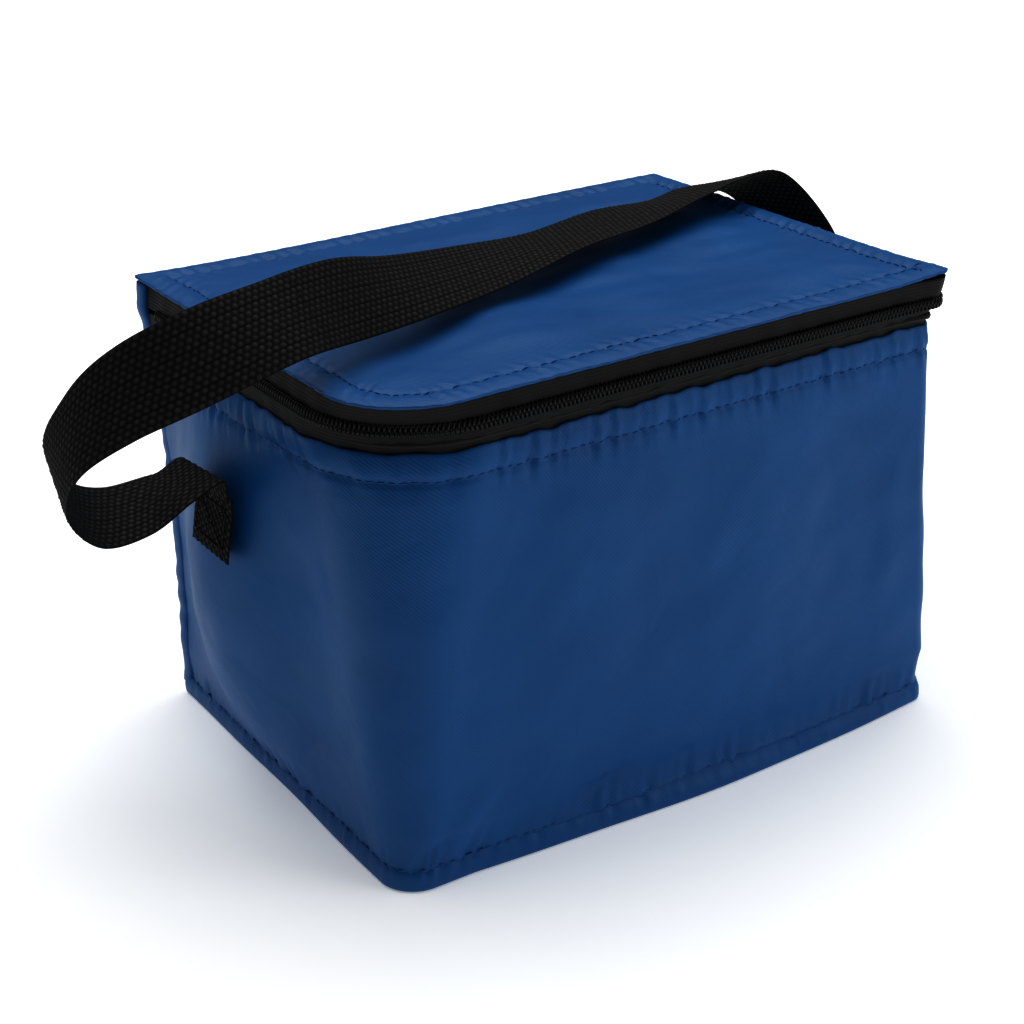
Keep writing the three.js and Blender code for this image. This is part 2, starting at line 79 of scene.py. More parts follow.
HALF_W = box_mm("bottom_panel")[1][0]
HALF_D = box_mm("back_panel")[1][1]
LID_TOP = box_mm("lid_panel")[1][2]
FOLD_Z = box_mm("outer_wall_wrap")[1][2]
RIM_Z = box_mm("lid_panel")[0][2]
LOW_COIL = box_mm("body_zip_coil")
HIGH_COIL = box_mm("lid_zip_coil")
ZIP_Z = (LOW_COIL[1][2] + HIGH_COIL[0][2]) / 2
HEM_TOP = box_mm("bottom_seam")[1][2]
TAPE_LOW = box_mm("body_zip_tape")[0][2]
COIL_BACK = LOW_COIL[1][1]
SEWN_LOW = box_mm("strap_end_left")[0]
SEWN_HIGH = box_mm("strap_end_left")[1]
print(f"bag {2 * HALF_W:.0f} x {2 * HALF_D:.0f} x {LID_TOP:.0f} mm, zip at {ZIP_Z:.1f} mm")

# %% [markdown]
# ## Shaping tools
#
# Cloth is never flat and never random either. Thread pulls it in at every stitch line and foam
# pushes it out between them. These few curves give both: a smooth step, a soft groove, and sums
# of sine waves with fixed seeds, which wander as real cloth does and come out the same each time.


# %% Curves and wandering waves
def smooth(x, low, high):
    t = np.clip((np.asarray(x, float) - low) / (high - low), 0, 1)
    return t * t * (3 - 2 * t)


def groove(x, width):
    return np.exp(-((np.asarray(x, float) / width) ** 2))


def ripple(s, lengths, seed):
    """A wavy line: sines of the given wavelengths (mm) along s, between about -1 and 1."""
    draw = np.random.default_rng(seed)
    total = sum(
        np.sin(2 * math.pi * np.asarray(s, float) / (w * draw.uniform(0.85, 1.15))
               + draw.uniform(0, 2 * math.pi))
        for w in lengths
    )
    return total / len(lengths) ** 0.6


def billow(x, y, size, seed, waves=7):
    """A soft uneven surface over x and y, with swells about size mm across."""
    draw = np.random.default_rng(seed)
    total = 0
    for _ in range(waves):
        turn, phase = draw.uniform(0, 2 * math.pi, 2)
        k = 2 * math.pi / (size * draw.uniform(0.7, 1.5))
        total = total + np.sin(k * (x * math.cos(turn) + y * math.sin(turn)) + phase)
    return total / waves**0.5


# %% Meshes from numbers
def grid_faces(rows, columns, start=0, closed=False):
    """Quads over a grid of points stored row by row. A closed grid joins its last column to the first."""
    spans = columns if closed else columns - 1
    i, j = np.meshgrid(np.arange(rows - 1), np.arange(spans), indexing="ij")
    a = i * columns + j
    b = i * columns + (j + 1) % columns
    quads = np.stack([a, b, b + columns, a + columns], -1)
    return quads.reshape(-1, 4) + start


def piece(name, points, faces, cloth=None, extra=None):
    """A smooth mesh object from points in mm. cloth gives each point's place on the flat cloth, in mm."""
    mesh = bpy.data.meshes.new(name)
    places = np.asarray(points, float).reshape(-1, 3) * MM
    mesh.from_pydata(places.tolist(), [], [list(face) for face in faces])
    mesh.polygons.foreach_set("use_smooth", np.ones(len(mesh.polygons), bool))
    if cloth is not None:
        layer = mesh.attributes.new("cloth_mm", "FLOAT_VECTOR", "POINT")
        flat = np.zeros((len(mesh.vertices), 3), np.float32)
        given = np.asarray(cloth).reshape(len(flat), -1)
        flat[:, : given.shape[1]] = given
        layer.data.foreach_set("vector", flat.ravel())
    if extra is not None:
        layer = mesh.attributes.new("thread_top", "FLOAT", "POINT")
        layer.data.foreach_set("value", np.asarray(extra, np.float32).ravel())
    made = bpy.data.objects.new(name, mesh)
    bpy.context.scene.collection.objects.link(made)
    return made


def dress(made, material, body=None, stands_for=()):
    made.data.materials.clear()
    made.data.materials.append(material)
    if body:
        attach(made, body)
    if stands_for:
        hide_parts(*stands_for)
    print(f"{made.name}: {len(made.data.vertices)} points")
    return made


def thicken(made, thickness):
    solid = made.modifiers.new("cloth thickness", "SOLIDIFY")
    solid.thickness = thickness * MM
    solid.offset = -1
    return made


# %% [markdown]
# ## Finishes
#
# Every material starts from what the real thing is. The colours are sRGB hex values, turned to
# linear by one function. Patterns are drawn from a real spacing in millimetres on the flat cloth,
# which each mesh carries as the attribute cloth_mm, so threads follow the cut and not the world.


# %% Material helpers
def linear(code):
    values = [int(code[i : i + 2], 16) / 255 for i in (1, 3, 5)]
    return [v / 12.92 if v <= 0.04045 else ((v + 0.055) / 1.055) ** 2.4 for v in values] + [1.0]


def add(tree, kind, settings=None, inputs=None, links=None):
    """Adds one node: its own settings, fixed values for inputs, and links from other nodes' outputs."""
    made = tree.nodes.new(kind)
    for name, value in (settings or {}).items():
        setattr(made, name, value)
    for name, value in (inputs or {}).items():
        made.inputs[name].default_value = value
    for name, source in (links or {}).items():
        tree.links.new(source, made.inputs[name])
    return made


def blank(name):
    material = bpy.data.materials.new(name)
    material.use_nodes = True
    tree = material.node_tree
    tree.nodes.clear()
    shader = add(tree, "ShaderNodeBsdfPrincipled")
    add(tree, "ShaderNodeOutputMaterial", links={"Surface": shader.outputs["BSDF"]})
    return material, tree, shader


def set_shader(shader, **values):
    names = {"sheen": "Sheen Weight", "sheen_roughness": "Sheen Roughness", "sheen_tint": "Sheen Tint",
             "ior": "IOR", "coat": "Coat Weight", "metallic": "Metallic", "roughness": "Roughness",
             "base": "Base Color"}
    for key, value in values.items():
        shader.inputs[names[key]].default_value = value


def two_tone(tree, shader, place, dark, light, scale):
    """Colour that drifts between two close tones, as dyed cloth does."""
    noise = add(tree, "ShaderNodeTexNoise", inputs={"Scale": scale, "Detail": 3.0},
                links={"Vector": place})
    ramp = add(tree, "ShaderNodeValToRGB", links={"Fac": noise.outputs["Fac"]})
    ramp.color_ramp.elements[0].position = 0.3
    ramp.color_ramp.elements[1].position = 0.7
    ramp.color_ramp.elements[0].color = linear(dark)
    ramp.color_ramp.elements[1].color = linear(light)
    tree.links.new(ramp.outputs["Color"], shader.inputs["Base Color"])
    return noise


# %% [markdown]
# ### Nylon for the outside
#
# The shell is 210-denier nylon twill with a rubbery coating behind it: piece-dyed a deep blue and
# calendered, which leaves a low silky gloss. The eye gets a fine diagonal rib, a soft sheen where
# the cloth turns away, and small creases from sewing. Real twill ribs are 0.3 mm apart; they are
# drawn 0.6 mm apart, so that they show.

# %% Blue nylon twill
TWILL_RIB_MM = 0.6
CREASE_MM = 16


def nylon_twill(name, dark, light):
    material, tree, shader = blank(name)
    place = add(tree, "ShaderNodeAttribute", {"attribute_name": "cloth_mm"}).outputs["Vector"]
    two_tone(tree, shader, place, dark, light, 0.02)
    rib = add(tree, "ShaderNodeTexWave", {"bands_direction": "DIAGONAL"},
              {"Scale": 2 * math.pi / (20 * TWILL_RIB_MM), "Distortion": 0.6, "Detail": 1.0},
              {"Vector": place})
    crease = add(tree, "ShaderNodeTexNoise", None,
                 {"Scale": 1 / CREASE_MM, "Detail": 4.0, "Distortion": 0.7}, {"Vector": place})
    rough = add(tree, "ShaderNodeMapRange", inputs={"To Min": 0.40, "To Max": 0.56},
                links={"Value": crease.outputs["Fac"]})
    tree.links.new(rough.outputs["Result"], shader.inputs["Roughness"])
    creased = add(tree, "ShaderNodeBump", inputs={"Strength": 0.35, "Distance": 0.0012},
                  links={"Height": crease.outputs["Fac"]})
    bump = add(tree, "ShaderNodeBump", inputs={"Strength": 0.30, "Distance": 0.00012},
               links={"Height": rib.outputs["Fac"], "Normal": creased.outputs["Normal"]})
    tree.links.new(bump.outputs["Normal"], shader.inputs["Normal"])
    set_shader(shader, ior=1.53, sheen=0.04, sheen_roughness=0.4, sheen_tint=linear("#3f7fc4"))
    return material


BLUE_NYLON = nylon_twill("calendered_blue_nylon_twill", "#025a94", "#04639f")
print("nylon ribs", TWILL_RIB_MM, "mm apart")

# %% [markdown]
# ### Black webbing, tape and binding
#
# The strap is woven polypropylene webbing, dyed in the melt, so it is black right through. Its
# threads stand up as rows of small knuckles that catch the light on top and hide it between. The
# knuckles are in the mesh, and each point carries how high it stands: the colour is lighter on the
# tops as a painted highlight and near black between them as painted shade. Zip tape and edge
# binding are woven polyester, flatter, with fine ribs along their length.

# %% Black woven finishes
TAPE_RIB_MM = 1.1
BINDING_RIB_MM = 0.9


def black_webbing():
    material, tree, shader = blank("woven_black_polypropylene_webbing")
    top = add(tree, "ShaderNodeAttribute", {"attribute_name": "thread_top"}).outputs["Fac"]
    # Colour from knuckle height: lighter on the tops is a painted highlight, near black between them is
    # painted shade.
    ramp = add(tree, "ShaderNodeValToRGB", links={"Fac": top})
    ramp.color_ramp.elements[0].color = linear("#010101")
    ramp.color_ramp.elements[1].color = linear("#303031")
    ramp.color_ramp.elements[0].position = 0.15
    tree.links.new(ramp.outputs["Color"], shader.inputs["Base Color"])
    place = add(tree, "ShaderNodeAttribute", {"attribute_name": "cloth_mm"}).outputs["Vector"]
    hairs = add(tree, "ShaderNodeTexNoise", inputs={"Scale": 3.0, "Detail": 3.0}, links={"Vector": place})
    bump = add(tree, "ShaderNodeBump", inputs={"Strength": 0.4, "Distance": 0.0002},
               links={"Height": hairs.outputs["Fac"]})
    tree.links.new(bump.outputs["Normal"], shader.inputs["Normal"])
    rough = add(tree, "ShaderNodeMapRange", inputs={"To Min": 0.95, "To Max": 0.5}, links={"Value": top})
    tree.links.new(rough.outputs["Result"], shader.inputs["Roughness"])
    set_shader(shader, ior=1.49)
    return material


def ribbed_black(name, code, rib_mm, roughness):
    material, tree, shader = blank(name)
    place = add(tree, "ShaderNodeAttribute", {"attribute_name": "cloth_mm"}).outputs["Vector"]
    two_tone(tree, shader, place, "#060606", code, 0.15)
    rib = add(tree, "ShaderNodeTexWave", {"bands_direction": "Y"},
              {"Scale": 2 * math.pi / (20 * rib_mm), "Distortion": 0.3}, {"Vector": place})
    bump = add(tree, "ShaderNodeBump", inputs={"Strength": 0.5, "Distance": 0.0002},
               links={"Height": rib.outputs["Fac"]})
    tree.links.new(bump.outputs["Normal"], shader.inputs["Normal"])
    set_shader(shader, ior=1.54, roughness=roughness, sheen=0.1)
    return material


WEBBING = black_webbing()
ZIP_TAPE = ribbed_black("woven_black_polyester_zip_tape", "#0d0d0e", TAPE_RIB_MM, 0.72)
BINDING = ribbed_black("black_polyester_grosgrain_binding", "#101011", BINDING_RIB_MM, 0.68)
print("ribs", TAPE_RIB_MM, "mm apart on the tape")

# %% [markdown]
# ### Nylon coil, enamelled slider, thread
#
# The zip's coil is one nylon thread as thick as fishing line, wound and pressed: smooth, black and
# slightly glossy. The slider is cast zinc with black enamel. The topstitching is spun polyester
# thread in the cloth's colour.


# %% Coil, enamel and thread
def plain(name, dark, light, noise_scale, depth, **values):
    """A solid material with a fine uneven surface, placed in the object's own space."""
    material, tree, shader = blank(name)
    place = add(tree, "ShaderNodeTexCoord").outputs["Object"]
    noise = two_tone(tree, shader, place, dark, light, noise_scale)
    bump = add(tree, "ShaderNodeBump", inputs={"Strength": 0.3, "Distance": depth},
               links={"Height": noise.outputs["Fac"]})
    tree.links.new(bump.outputs["Normal"], shader.inputs["Normal"])
    set_shader(shader, **values)
    return material


COIL = plain("pressed_black_nylon_coil", "#19191a", "#29292a", 900, 0.00003,
             ior=1.53, roughness=0.32)
ENAMEL = plain("black_enamelled_zinc", "#0b0b0c", "#151517", 700, 0.00003,
               ior=1.5, roughness=0.3, coat=0.3)
BLUE_THREAD = plain("blue_spun_polyester_thread", "#06528c", "#1066a8", 1500, 0.0001,
                    ior=1.54, roughness=0.6, sheen=0.2)
BLACK_THREAD = plain("black_spun_polyester_thread", "#060606", "#111112", 1500, 0.0001,
                     ior=1.54, roughness=0.6)
FOAM = plain("closed_cell_polyethylene_foam", "#e2e2dc", "#f1f1ed", 1200, 0.0003, ior=1.51, roughness=0.8)
print("five plain finishes")

# %% [markdown]
# ### Silver lining
#
# The inside is heat-sealed PEVA film with a pearly silver print. It wipes clean, so it is fairly
# glossy, and it never lies quite flat, which breaks its highlights into soft patches.


# %% Silver film
def silver_film():
    material, tree, shader = blank("silver_peva_film")
    place = add(tree, "ShaderNodeTexCoord").outputs["Object"]
    two_tone(tree, shader, place, "#a9adb0", "#c3c7ca", 25)
    creases = add(tree, "ShaderNodeTexVoronoi", {"feature": "SMOOTH_F1"},
                  {"Scale": 55.0, "Smoothness": 0.7}, {"Vector": place})
    bump = add(tree, "ShaderNodeBump", inputs={"Strength": 0.35, "Distance": 0.0012},
               links={"Height": creases.outputs["Distance"]})
    tree.links.new(bump.outputs["Normal"], shader.inputs["Normal"])
    set_shader(shader, ior=1.49, roughness=0.32, metallic=0.35)
    return material


SILVER = silver_film()
print("lining finish:", SILVER.name)

# %% [markdown]
# ## The line that the cloth follows
#
# Seen from above, the wall runs from the back left corner forward, round the front and back again.
# The left front corner is a broad soft turn near the zip and tightens toward the floor. The right
# one is nearly a crease. The sides swell over the foam, and the seams pull the wall in.

# %% Plan of the wall at each height
SIDE_POINTS = 84
CORNER_POINTS = 22
FRONT_POINTS = 128
WALL_HEIGHTS = [0, 8, 18, 50, 82, 120, 134, 143, 152]
LEFT_CORNER_R = [12, 12, 15, 21, 26, 35, 40, 38, 26]
RIGHT_CORNER_R = [6, 6, 6, 6, 6, 6, 6, 5, 4]
LEFT_REACH = [101.9, 101.0, 101.6, 101.5, 101.3, 101.6, 102.0, 102.6, 101.5]
RIGHT_REACH = [104.6, 103.6, 105.4, 103.2, 102.0, 102.6, 103.4, 103.4, 102.6]
FRONT_REACH = [76.6, 75.6, 76.8, 76.2, 75.6, 74.0, 72.4, 75.4, 76.4]
SIDE_BULGE = 16
FRONT_BULGE = 3
FOOT_BULGE = 5.6
BACK_PINCH = 2.4
CORNER_FLARE = 3.0
SWELL_FRONT = 34 - HALF_D
SWELL_BACK = HALF_D - 8
FOOT_HEIGHT = 16
FOOT_SPAN = (-76, 118)
PINCH_FROM = 50
PINCH_BASE = 4
FLARE_WIDTH = 13


def at_height(z, values):
    return float(np.interp(z, WALL_HEIGHTS, values))


def hump(v, low, high):
    v = np.asarray(v, float)
    return np.where((v > low) & (v < high), np.sin(np.pi * np.clip((v - low) / (high - low), 0, 1)), 0)


def side_swell(y, z):
    return SIDE_BULGE * hump(y, SWELL_FRONT, SWELL_BACK) ** 2 * hump(z, HEM_TOP, FOLD_Z)


def back_pinch(z):
    """How far the left side is drawn in at the back seam."""
    return BACK_PINCH * hump(z, PINCH_BASE, RIM_Z)


def wall_plan(z, inset=0.0, back=HALF_D, swell=True):
    """Points (x, y) and outward directions of the wall's line at height z."""
    left, right, front = (at_height(z, v) for v in (LEFT_REACH, RIGHT_REACH, FRONT_REACH))
    r_left, r_right = at_height(z, LEFT_CORNER_R), at_height(z, RIGHT_CORNER_R)
    turn = np.linspace(0, math.pi / 2, CORNER_POINTS + 2)[1:-1]
    y_left = np.linspace(back, r_left - front, SIDE_POINTS)
    y_right = np.linspace(r_right - front, back, SIDE_POINTS)
    x_front = np.linspace(r_left - left, right - r_right, FRONT_POINTS)
    out = [
        np.stack([0 * y_left - 1, 0 * y_left], 1),
        np.stack([-np.cos(turn), -np.sin(turn)], 1),
        np.stack([0 * x_front, 0 * x_front - 1], 1),
        np.stack([np.sin(turn), -np.cos(turn)], 1),
        np.stack([0 * y_right + 1, 0 * y_right], 1),
    ]
    line = [
        np.stack([0 * y_left - left, y_left], 1),
        np.array([r_left - left, r_left - front]) + r_left * out[1],
        np.stack([x_front, 0 * x_front - front], 1),
        np.array([right - r_right, r_right - front]) + r_right * out[3],
        np.stack([0 * y_right + right, y_right], 1),
    ]
    points, outward = np.concatenate(line), np.concatenate(out)
    puff = np.full(len(points), -float(inset))
    if swell:
        puff += np.abs(outward[:, 0]) * side_swell(points[:, 1], z)
        puff += np.abs(np.minimum(outward[:, 1], 0)) * FRONT_BULGE * (
            hump(points[:, 0], -HALF_W + 20, HALF_W - 10) ** 1.5 * hump(z, HEM_TOP, FOLD_Z))
        puff -= np.maximum(-outward[:, 0], 0) * back_pinch(z) * smooth(points[:, 1], PINCH_FROM, HALF_D)
    foot = 1 - smooth(z, 0, FOOT_HEIGHT)
    puff += np.maximum(-outward[:, 1], 0) * FOOT_BULGE * foot * hump(points[:, 0], *FOOT_SPAN)
    corner = np.exp(-((np.hypot(points[:, 0] - right, points[:, 1] + front) / FLARE_WIDTH) ** 2))
    puff += CORNER_FLARE * corner * float(smooth(z, FOLD_Z, LID_TOP))
    return points + outward * puff[:, None], outward


def run_length(points):
    step = np.linalg.norm(np.diff(points, axis=0), axis=1)
    return np.concatenate([[0], np.cumsum(step)])


RUN = run_length(wall_plan(FOLD_Z / 2, swell=False)[0])
print(f"the wall's cloth is {RUN[-1]:.0f} mm round three sides")

# %% [markdown]
# ## The wall
#
# One strip of nylon goes round both sides and the front. It is made as a fine grid, so that real
# folds fit in it: the swell over the foam, a slow unevenness, and short puckers that fan out of the
# two stitch lines. At the top the cloth folds in on itself round the zip tape.

# %% Build the wall
TOP_STITCH_DROP = 8
HEM_STITCH_Z = 7.2
PUCKERS = (4.2, 5.6, 8, 12)
EDGE_WAVE_DEPTH = 14
NYLON_MM = 0.5
FILM_MM = 0.3
FOLDS = [
    # x on the front, height, slope, half length, half width, how far out (mm and radians)
    (-22, 15, 0.35, 14, 3.4, -0.9), (20, 20, -0.2, 12, 3.0, -0.55), (-70, 19, 1.0, 12, 4.0, 1.0),
    (-80, 14, 0.3, 8, 2.6, -0.8), (68, 110, -0.4, 17, 4.5, -0.8), (-34, 106, -0.2, 19, 4.5, 0.6),
    (84, 62, 1.4, 26, 6.0, 0.6), (8, 70, 0.5, 24, 7.0, -0.45), (46, 36, 0.25, 20, 4.0, 0.45),
]
front_columns = slice(SIDE_POINTS + CORNER_POINTS, SIDE_POINTS + CORNER_POINTS + FRONT_POINTS)
plain_line = wall_plan(FOLD_Z / 2, swell=False)[0]


def front_s(x):
    return float(np.interp(x, plain_line[front_columns, 0], RUN[front_columns]))


def wall_relief(s, z):
    """How far the cloth stands out of its smooth shape, at s mm along the strip and height z."""
    below_fold = FOLD_Z - z
    above_hem = z - HEM_STITCH_Z
    slow = 0.55 * billow(s, z * 0.7, 52, 3) + 0.16 * billow(s, z, 21, 5)
    calm = smooth(below_fold, 4, 40) * smooth(above_hem, 2, 30)
    top = ripple(s + 0.2 * z, PUCKERS, 11) * (0.6 * groove(below_fold - TOP_STITCH_DROP + 1, 4.8)
                                              + 0.16 * groove(below_fold, 3))
    patchy = 0.25 + 0.75 * smooth(ripple(s, (45, 75), 13), -0.3, 0.9)
    low = ripple(s - 0.1 * z, (5, 7.5, 12), 12) * 0.55 * patchy * groove(above_hem - 1.5, 5)
    seam = 0.35 * groove(below_fold - TOP_STITCH_DROP / 2, 2.6)
    seam = seam - 0.55 * groove(below_fold - TOP_STITCH_DROP, 0.9)
    folds = sum(
        depth * groove((s - front_s(x)) * math.cos(a) + (z - up) * math.sin(a), long)
        * groove((z - up) * math.cos(a) - (s - front_s(x)) * math.sin(a), wide)
        for x, up, a, long, wide, depth in FOLDS
    )
    return slow * calm + top + low + seam + folds


wall_heights = np.concatenate([
    np.linspace(HEM_STITCH_Z - 1.2, 24, 18),
    np.linspace(25.5, 112, 54),
    np.linspace(113.2, FOLD_Z - 0.8, 22),
])
rows = []
flat = []
for z in wall_heights:
    line, outward = wall_plan(z)
    lift = wall_relief(RUN, z)
    rows.append(np.column_stack([line + outward * lift[:, None], np.full(len(line), z)]))
    flat.append(np.column_stack([RUN, np.full(len(line), z)]))
edge_wave = 0.45 * ripple(RUN, (9, 14, 31), 21)
line, outward = wall_plan(FOLD_Z)
edge_lift = wall_relief(RUN, FOLD_Z)
for inward, rise in [(0.15, -0.25), (0.5, 0.0), (0.95, -0.2), (1.1, -0.9), (1.1, -5.0)]:
    ring = line + outward * (edge_lift - inward)[:, None]
    rows.append(np.column_stack([ring, FOLD_Z + rise + edge_wave * smooth(rise, -5.0, -0.9)]))
    flat.append(np.column_stack([RUN, np.full(len(line), FOLD_Z + 1 + inward)]))
for k, z in enumerate(wall_heights):
    rows[k][:, 2] += edge_wave * smooth(z, FOLD_Z - EDGE_WAVE_DEPTH, FOLD_Z)
wall = piece("wall_cloth", np.array(rows), grid_faces(len(rows), len(RUN)), np.array(flat))
dress(thicken(wall, NYLON_MM), BLUE_NYLON, "bag", ["outer_wall_wrap"])

# %% [markdown]
# ## The hem round the floor
#
# Wall and floor panel meet in a seam that is turned and stitched through again, so a flat double
# edge stands out all round the foot of the bag. It is swept round the whole outline as a closed
# section: nearly flush at the stitch line, fuller below it, and wavy where thread has drawn it in.


# %% Bands swept round the bag
def closed_plan(z, back, corner=1.5):
    """The wall's line closed by a straight back, for bands that go all the way round."""
    line, outward = wall_plan(z, back=back - corner, swell=False)
    x = np.linspace(line[-1, 0] - corner, line[0, 0] + corner, FRONT_POINTS)
    rear = np.column_stack([x, np.full(len(x), back)])
    away = np.column_stack([0 * x, 0 * x + 1])
    return np.concatenate([line, rear]), np.concatenate([outward, away])


def band(name, section, plan, relief=None, closed=False):
    """Sweeps a closed section of (outward, height) points along the plan line of each height."""
    line, outward = plan(section[0][1])
    s = run_length(line)
    section = np.asarray(section, float)
    around = np.concatenate([[0], np.cumsum(np.linalg.norm(np.diff(section, axis=0), axis=1))])
    rings = []
    flat = []
    for k, (out, z) in enumerate(section):
        lift = relief(s, out, z) if relief else np.zeros((2, len(s)))
        line, outward = plan(z)
        xy = line + outward * (out + lift[0])[:, None]
        rings.append(np.column_stack([xy, z + lift[1]]))
        flat.append(np.column_stack([s, np.full(len(s), around[k])]))
    columns, count = len(line), len(section)
    faces = grid_faces(count, columns, closed=closed).tolist()
    last = (count - 1) * columns
    ends = columns if closed else columns - 1
    for j in range(ends):
        n = (j + 1) % columns
        faces.append([last + j, last + n, n, j])
    if not closed:
        faces.append([k * columns for k in range(count)])
        faces.append([k * columns + columns - 1 for k in range(count)][::-1])
    return piece(name, np.array(rings), faces, np.array(flat))


def hem_relief(s, out, z):
    wave = ripple(s, (3.4, 5.2, 8.5), 31) * (0.45 + 0.55 * smooth(ripple(s, (38, 60), 32), -0.4, 0.8))
    slow = ripple(s, (70, 120), 33)
    near_thread = groove(z - 5.2, 2.6)
    outward = 0.5 * wave * near_thread + 0.3 * slow * (1 - smooth(z, 2, 7))
    return np.array([outward, 0.25 * slow * groove(z - 7, 4)])


HEM_SECTION = [(-1.6, 0.5), (-0.7, 0.05), (0.0, 0.3), (0.3, 1.0), (0.45, 1.9), (0.6, 3.0), (0.65, 4.2),
               (0.5, 5.4), (0.2, 6.3), (-0.2, 6.9), (-1.3, 7.3), (-2.2, 5.0)]
HEM_BACK = HALF_D + 0.2
HEM_THREAD_Z = 6.9
hem = band("bottom_hem", HEM_SECTION, lambda z: closed_plan(z, HEM_BACK), hem_relief, closed=True)
dress(hem, BLUE_NYLON, "bag", ["bottom_seam"])


# %% [markdown]
# ## Patches: floor, lid, lining
#
# The floor, the lid and the lining's floor are all the same shape of cloth, a rectangle with two
# front corners rounded off. A Coons patch fills it: a regular grid whose four edges are laid on
# the outline. The grid stays even, so puckers along the edge keep their size right into a corner.


# %% A patch inside an outline
def lid_outline(left, right, front, back, r_left, r_right, across=220, along=170):
    """Four edges of the outline, each corner shared half and half: front, right, back, left."""

    def arc(cx, cy, r, start, end, count):
        a = np.linspace(math.radians(start), math.radians(end), count)
        return np.column_stack([cx + r * np.cos(a), cy + r * np.sin(a)])

    def even(points, count):
        s = run_length(points)
        at = np.linspace(0, s[-1], count)
        return np.column_stack([np.interp(at, s, points[:, k]) for k in (0, 1)])

    r_back = 0.8
    lf = arc(r_left - left, r_left - front, r_left, 180, 270, 41)
    rf = arc(right - r_right, r_right - front, r_right, 270, 360, 41)
    rb = arc(right - r_back, back - r_back, r_back, 0, 90, 11)
    lb = arc(r_back - left, back - r_back, r_back, 90, 180, 11)
    return [
        even(np.concatenate([lf[20:], rf[:21]]), across),
        even(np.concatenate([rf[20:], rb[:6]]), along),
        even(np.concatenate([rb[5:], lb[:6]])[::-1], across),
        even(np.concatenate([lb[5:], lf[:21]])[::-1], along),
    ]


def coons(front, right, back, left):
    """Grid (rows from front to back, columns from left to right) bounded by the four edges."""
    s = np.linspace(0, 1, len(front))[None, :, None]
    t = np.linspace(0, 1, len(right))[:, None, None]
    ruled_t = (1 - t) * front[None] + t * back[None]
    ruled_s = (1 - s) * left[:, None] + s * right[:, None]
    corners = ((1 - s) * (1 - t) * front[0] + s * (1 - t) * front[-1]
               + (1 - s) * t * back[0] + s * t * back[-1])
    return ruled_t + ruled_s - corners


def rim_indices(rows, columns):
    """Indices of a grid's border, once round: front to right, back, and down the left."""
    front = list(range(columns))
    right = [i * columns + columns - 1 for i in range(1, rows)]
    back = [(rows - 1) * columns + j for j in range(columns - 2, -1, -1)]
    left = [i * columns for i in range(rows - 2, 0, -1)]
    return front + right + back + left


def plan_tree(points):
    """Finds the nearest of the given points (x, y), seen from above."""
    tree = KDTree(len(points))
    for k, p in enumerate(points):
        tree.insert((p[0], p[1], 0), k)
    tree.balance()
    return tree


def edge_distance(grid, border):
    """Distance of every grid point from the border, and how far along it the nearest point lies."""
    tree = plan_tree(border)
    s = run_length(border)
    found = [tree.find((p[0], p[1], 0)) for p in grid.reshape(-1, 2)]
    distance = np.array([f[2] for f in found]).reshape(grid.shape[:2])
    along = np.array([s[f[1]] for f in found]).reshape(grid.shape[:2])
    return distance, along


def skirted(name, top, skirt_rings, flat_top, flat_rings):
    """A grid of points with extra rings that carry on from its border."""
    rows, columns = top.shape[:2]
    border = rim_indices(rows, columns)
    count = len(border)
    faces = grid_faces(rows, columns).tolist()
    previous = border
    start = rows * columns
    for _ in skirt_rings:
        current = [start + j for j in range(count)]
        for j in range(count):
            n = (j + 1) % count
            faces.append([previous[j], current[j], current[n], previous[n]])
        previous = current
        start += count
    points = np.concatenate([top.reshape(-1, 3)] + [np.asarray(r) for r in skirt_rings])
    flat = np.concatenate([flat_top.reshape(-1, 2)] + [np.asarray(f) for f in flat_rings])
    return piece(name, points, faces, flat)


# %% [markdown]
# ## The lid
#
# The lid's cloth lies over a foam pad, crowned a little and uneven. Its edge is turned down over
# the zip tape and topstitched about 8 mm in. The thread gathers it, so the edge is finely scalloped
# and short puckers run in from it. At the front right the corner stands out in a small point.

# %% Build the lid
LID_EDGE = {
    "left": 101.2, "right": 103.2, "front": 77.0, "back": HALF_D + 0.3, "r_left": 27, "r_right": 3.0,
}
LID_EDGE_SECTION = [(0.3, 0.12), (0.45, 0.4), (0.4, 0.75), (0.0, 1.0), (-0.8, 1.1), (-2.0, 1.1),
                    (-4.0, 0.9)]
LID_STITCH_IN = 8.6
POINT_REACH = 0.8
POINT_RISE = 1.0
BACK_LEFT_RISE = 1.3
BACK_RIGHT_DROP = 0.5


def corner_point(xy):
    """How strongly a place belongs to the lid's standing front right corner."""
    gap = np.hypot(xy[..., 0] - LID_EDGE["right"], xy[..., 1] + LID_EDGE["front"])
    return np.exp(-((gap / 15) ** 1.5))


front, right, back, left = lid_outline(**LID_EDGE)
grid = coons(front, right, back, left)
border_index = rim_indices(*grid.shape[:2])
border = grid.reshape(-1, 2)[border_index]
distance, along = edge_distance(grid, border)
x, y = grid[..., 0], grid[..., 1]
inside = smooth(distance, LID_STITCH_IN, LID_STITCH_IN + 22)
height = LID_TOP - 0.2 + inside * 0.9
height += 0.65 * billow(x, y, 62, 41) * inside + 0.16 * billow(x, y, 17, 42) * smooth(distance, 4, 30)
lid_puckers = ripple(along + 0.5 * distance, (4.5, 6.5, 10), 43)
height += 0.3 * lid_puckers * groove(distance - LID_STITCH_IN + 1.5, 5)
height += 0.45 * groove(distance - LID_STITCH_IN / 2, 2.6) - 0.55 * groove(distance - LID_STITCH_IN, 1.0)
height -= 0.35 * (1 - smooth(distance, 0, 1.2))
height += POINT_RISE * corner_point(grid)
back_left = np.exp(-np.hypot(x + LID_EDGE["left"], y - HALF_D) / 22)
back_right = np.exp(-np.hypot(x - LID_EDGE["right"], y - HALF_D) / 30)
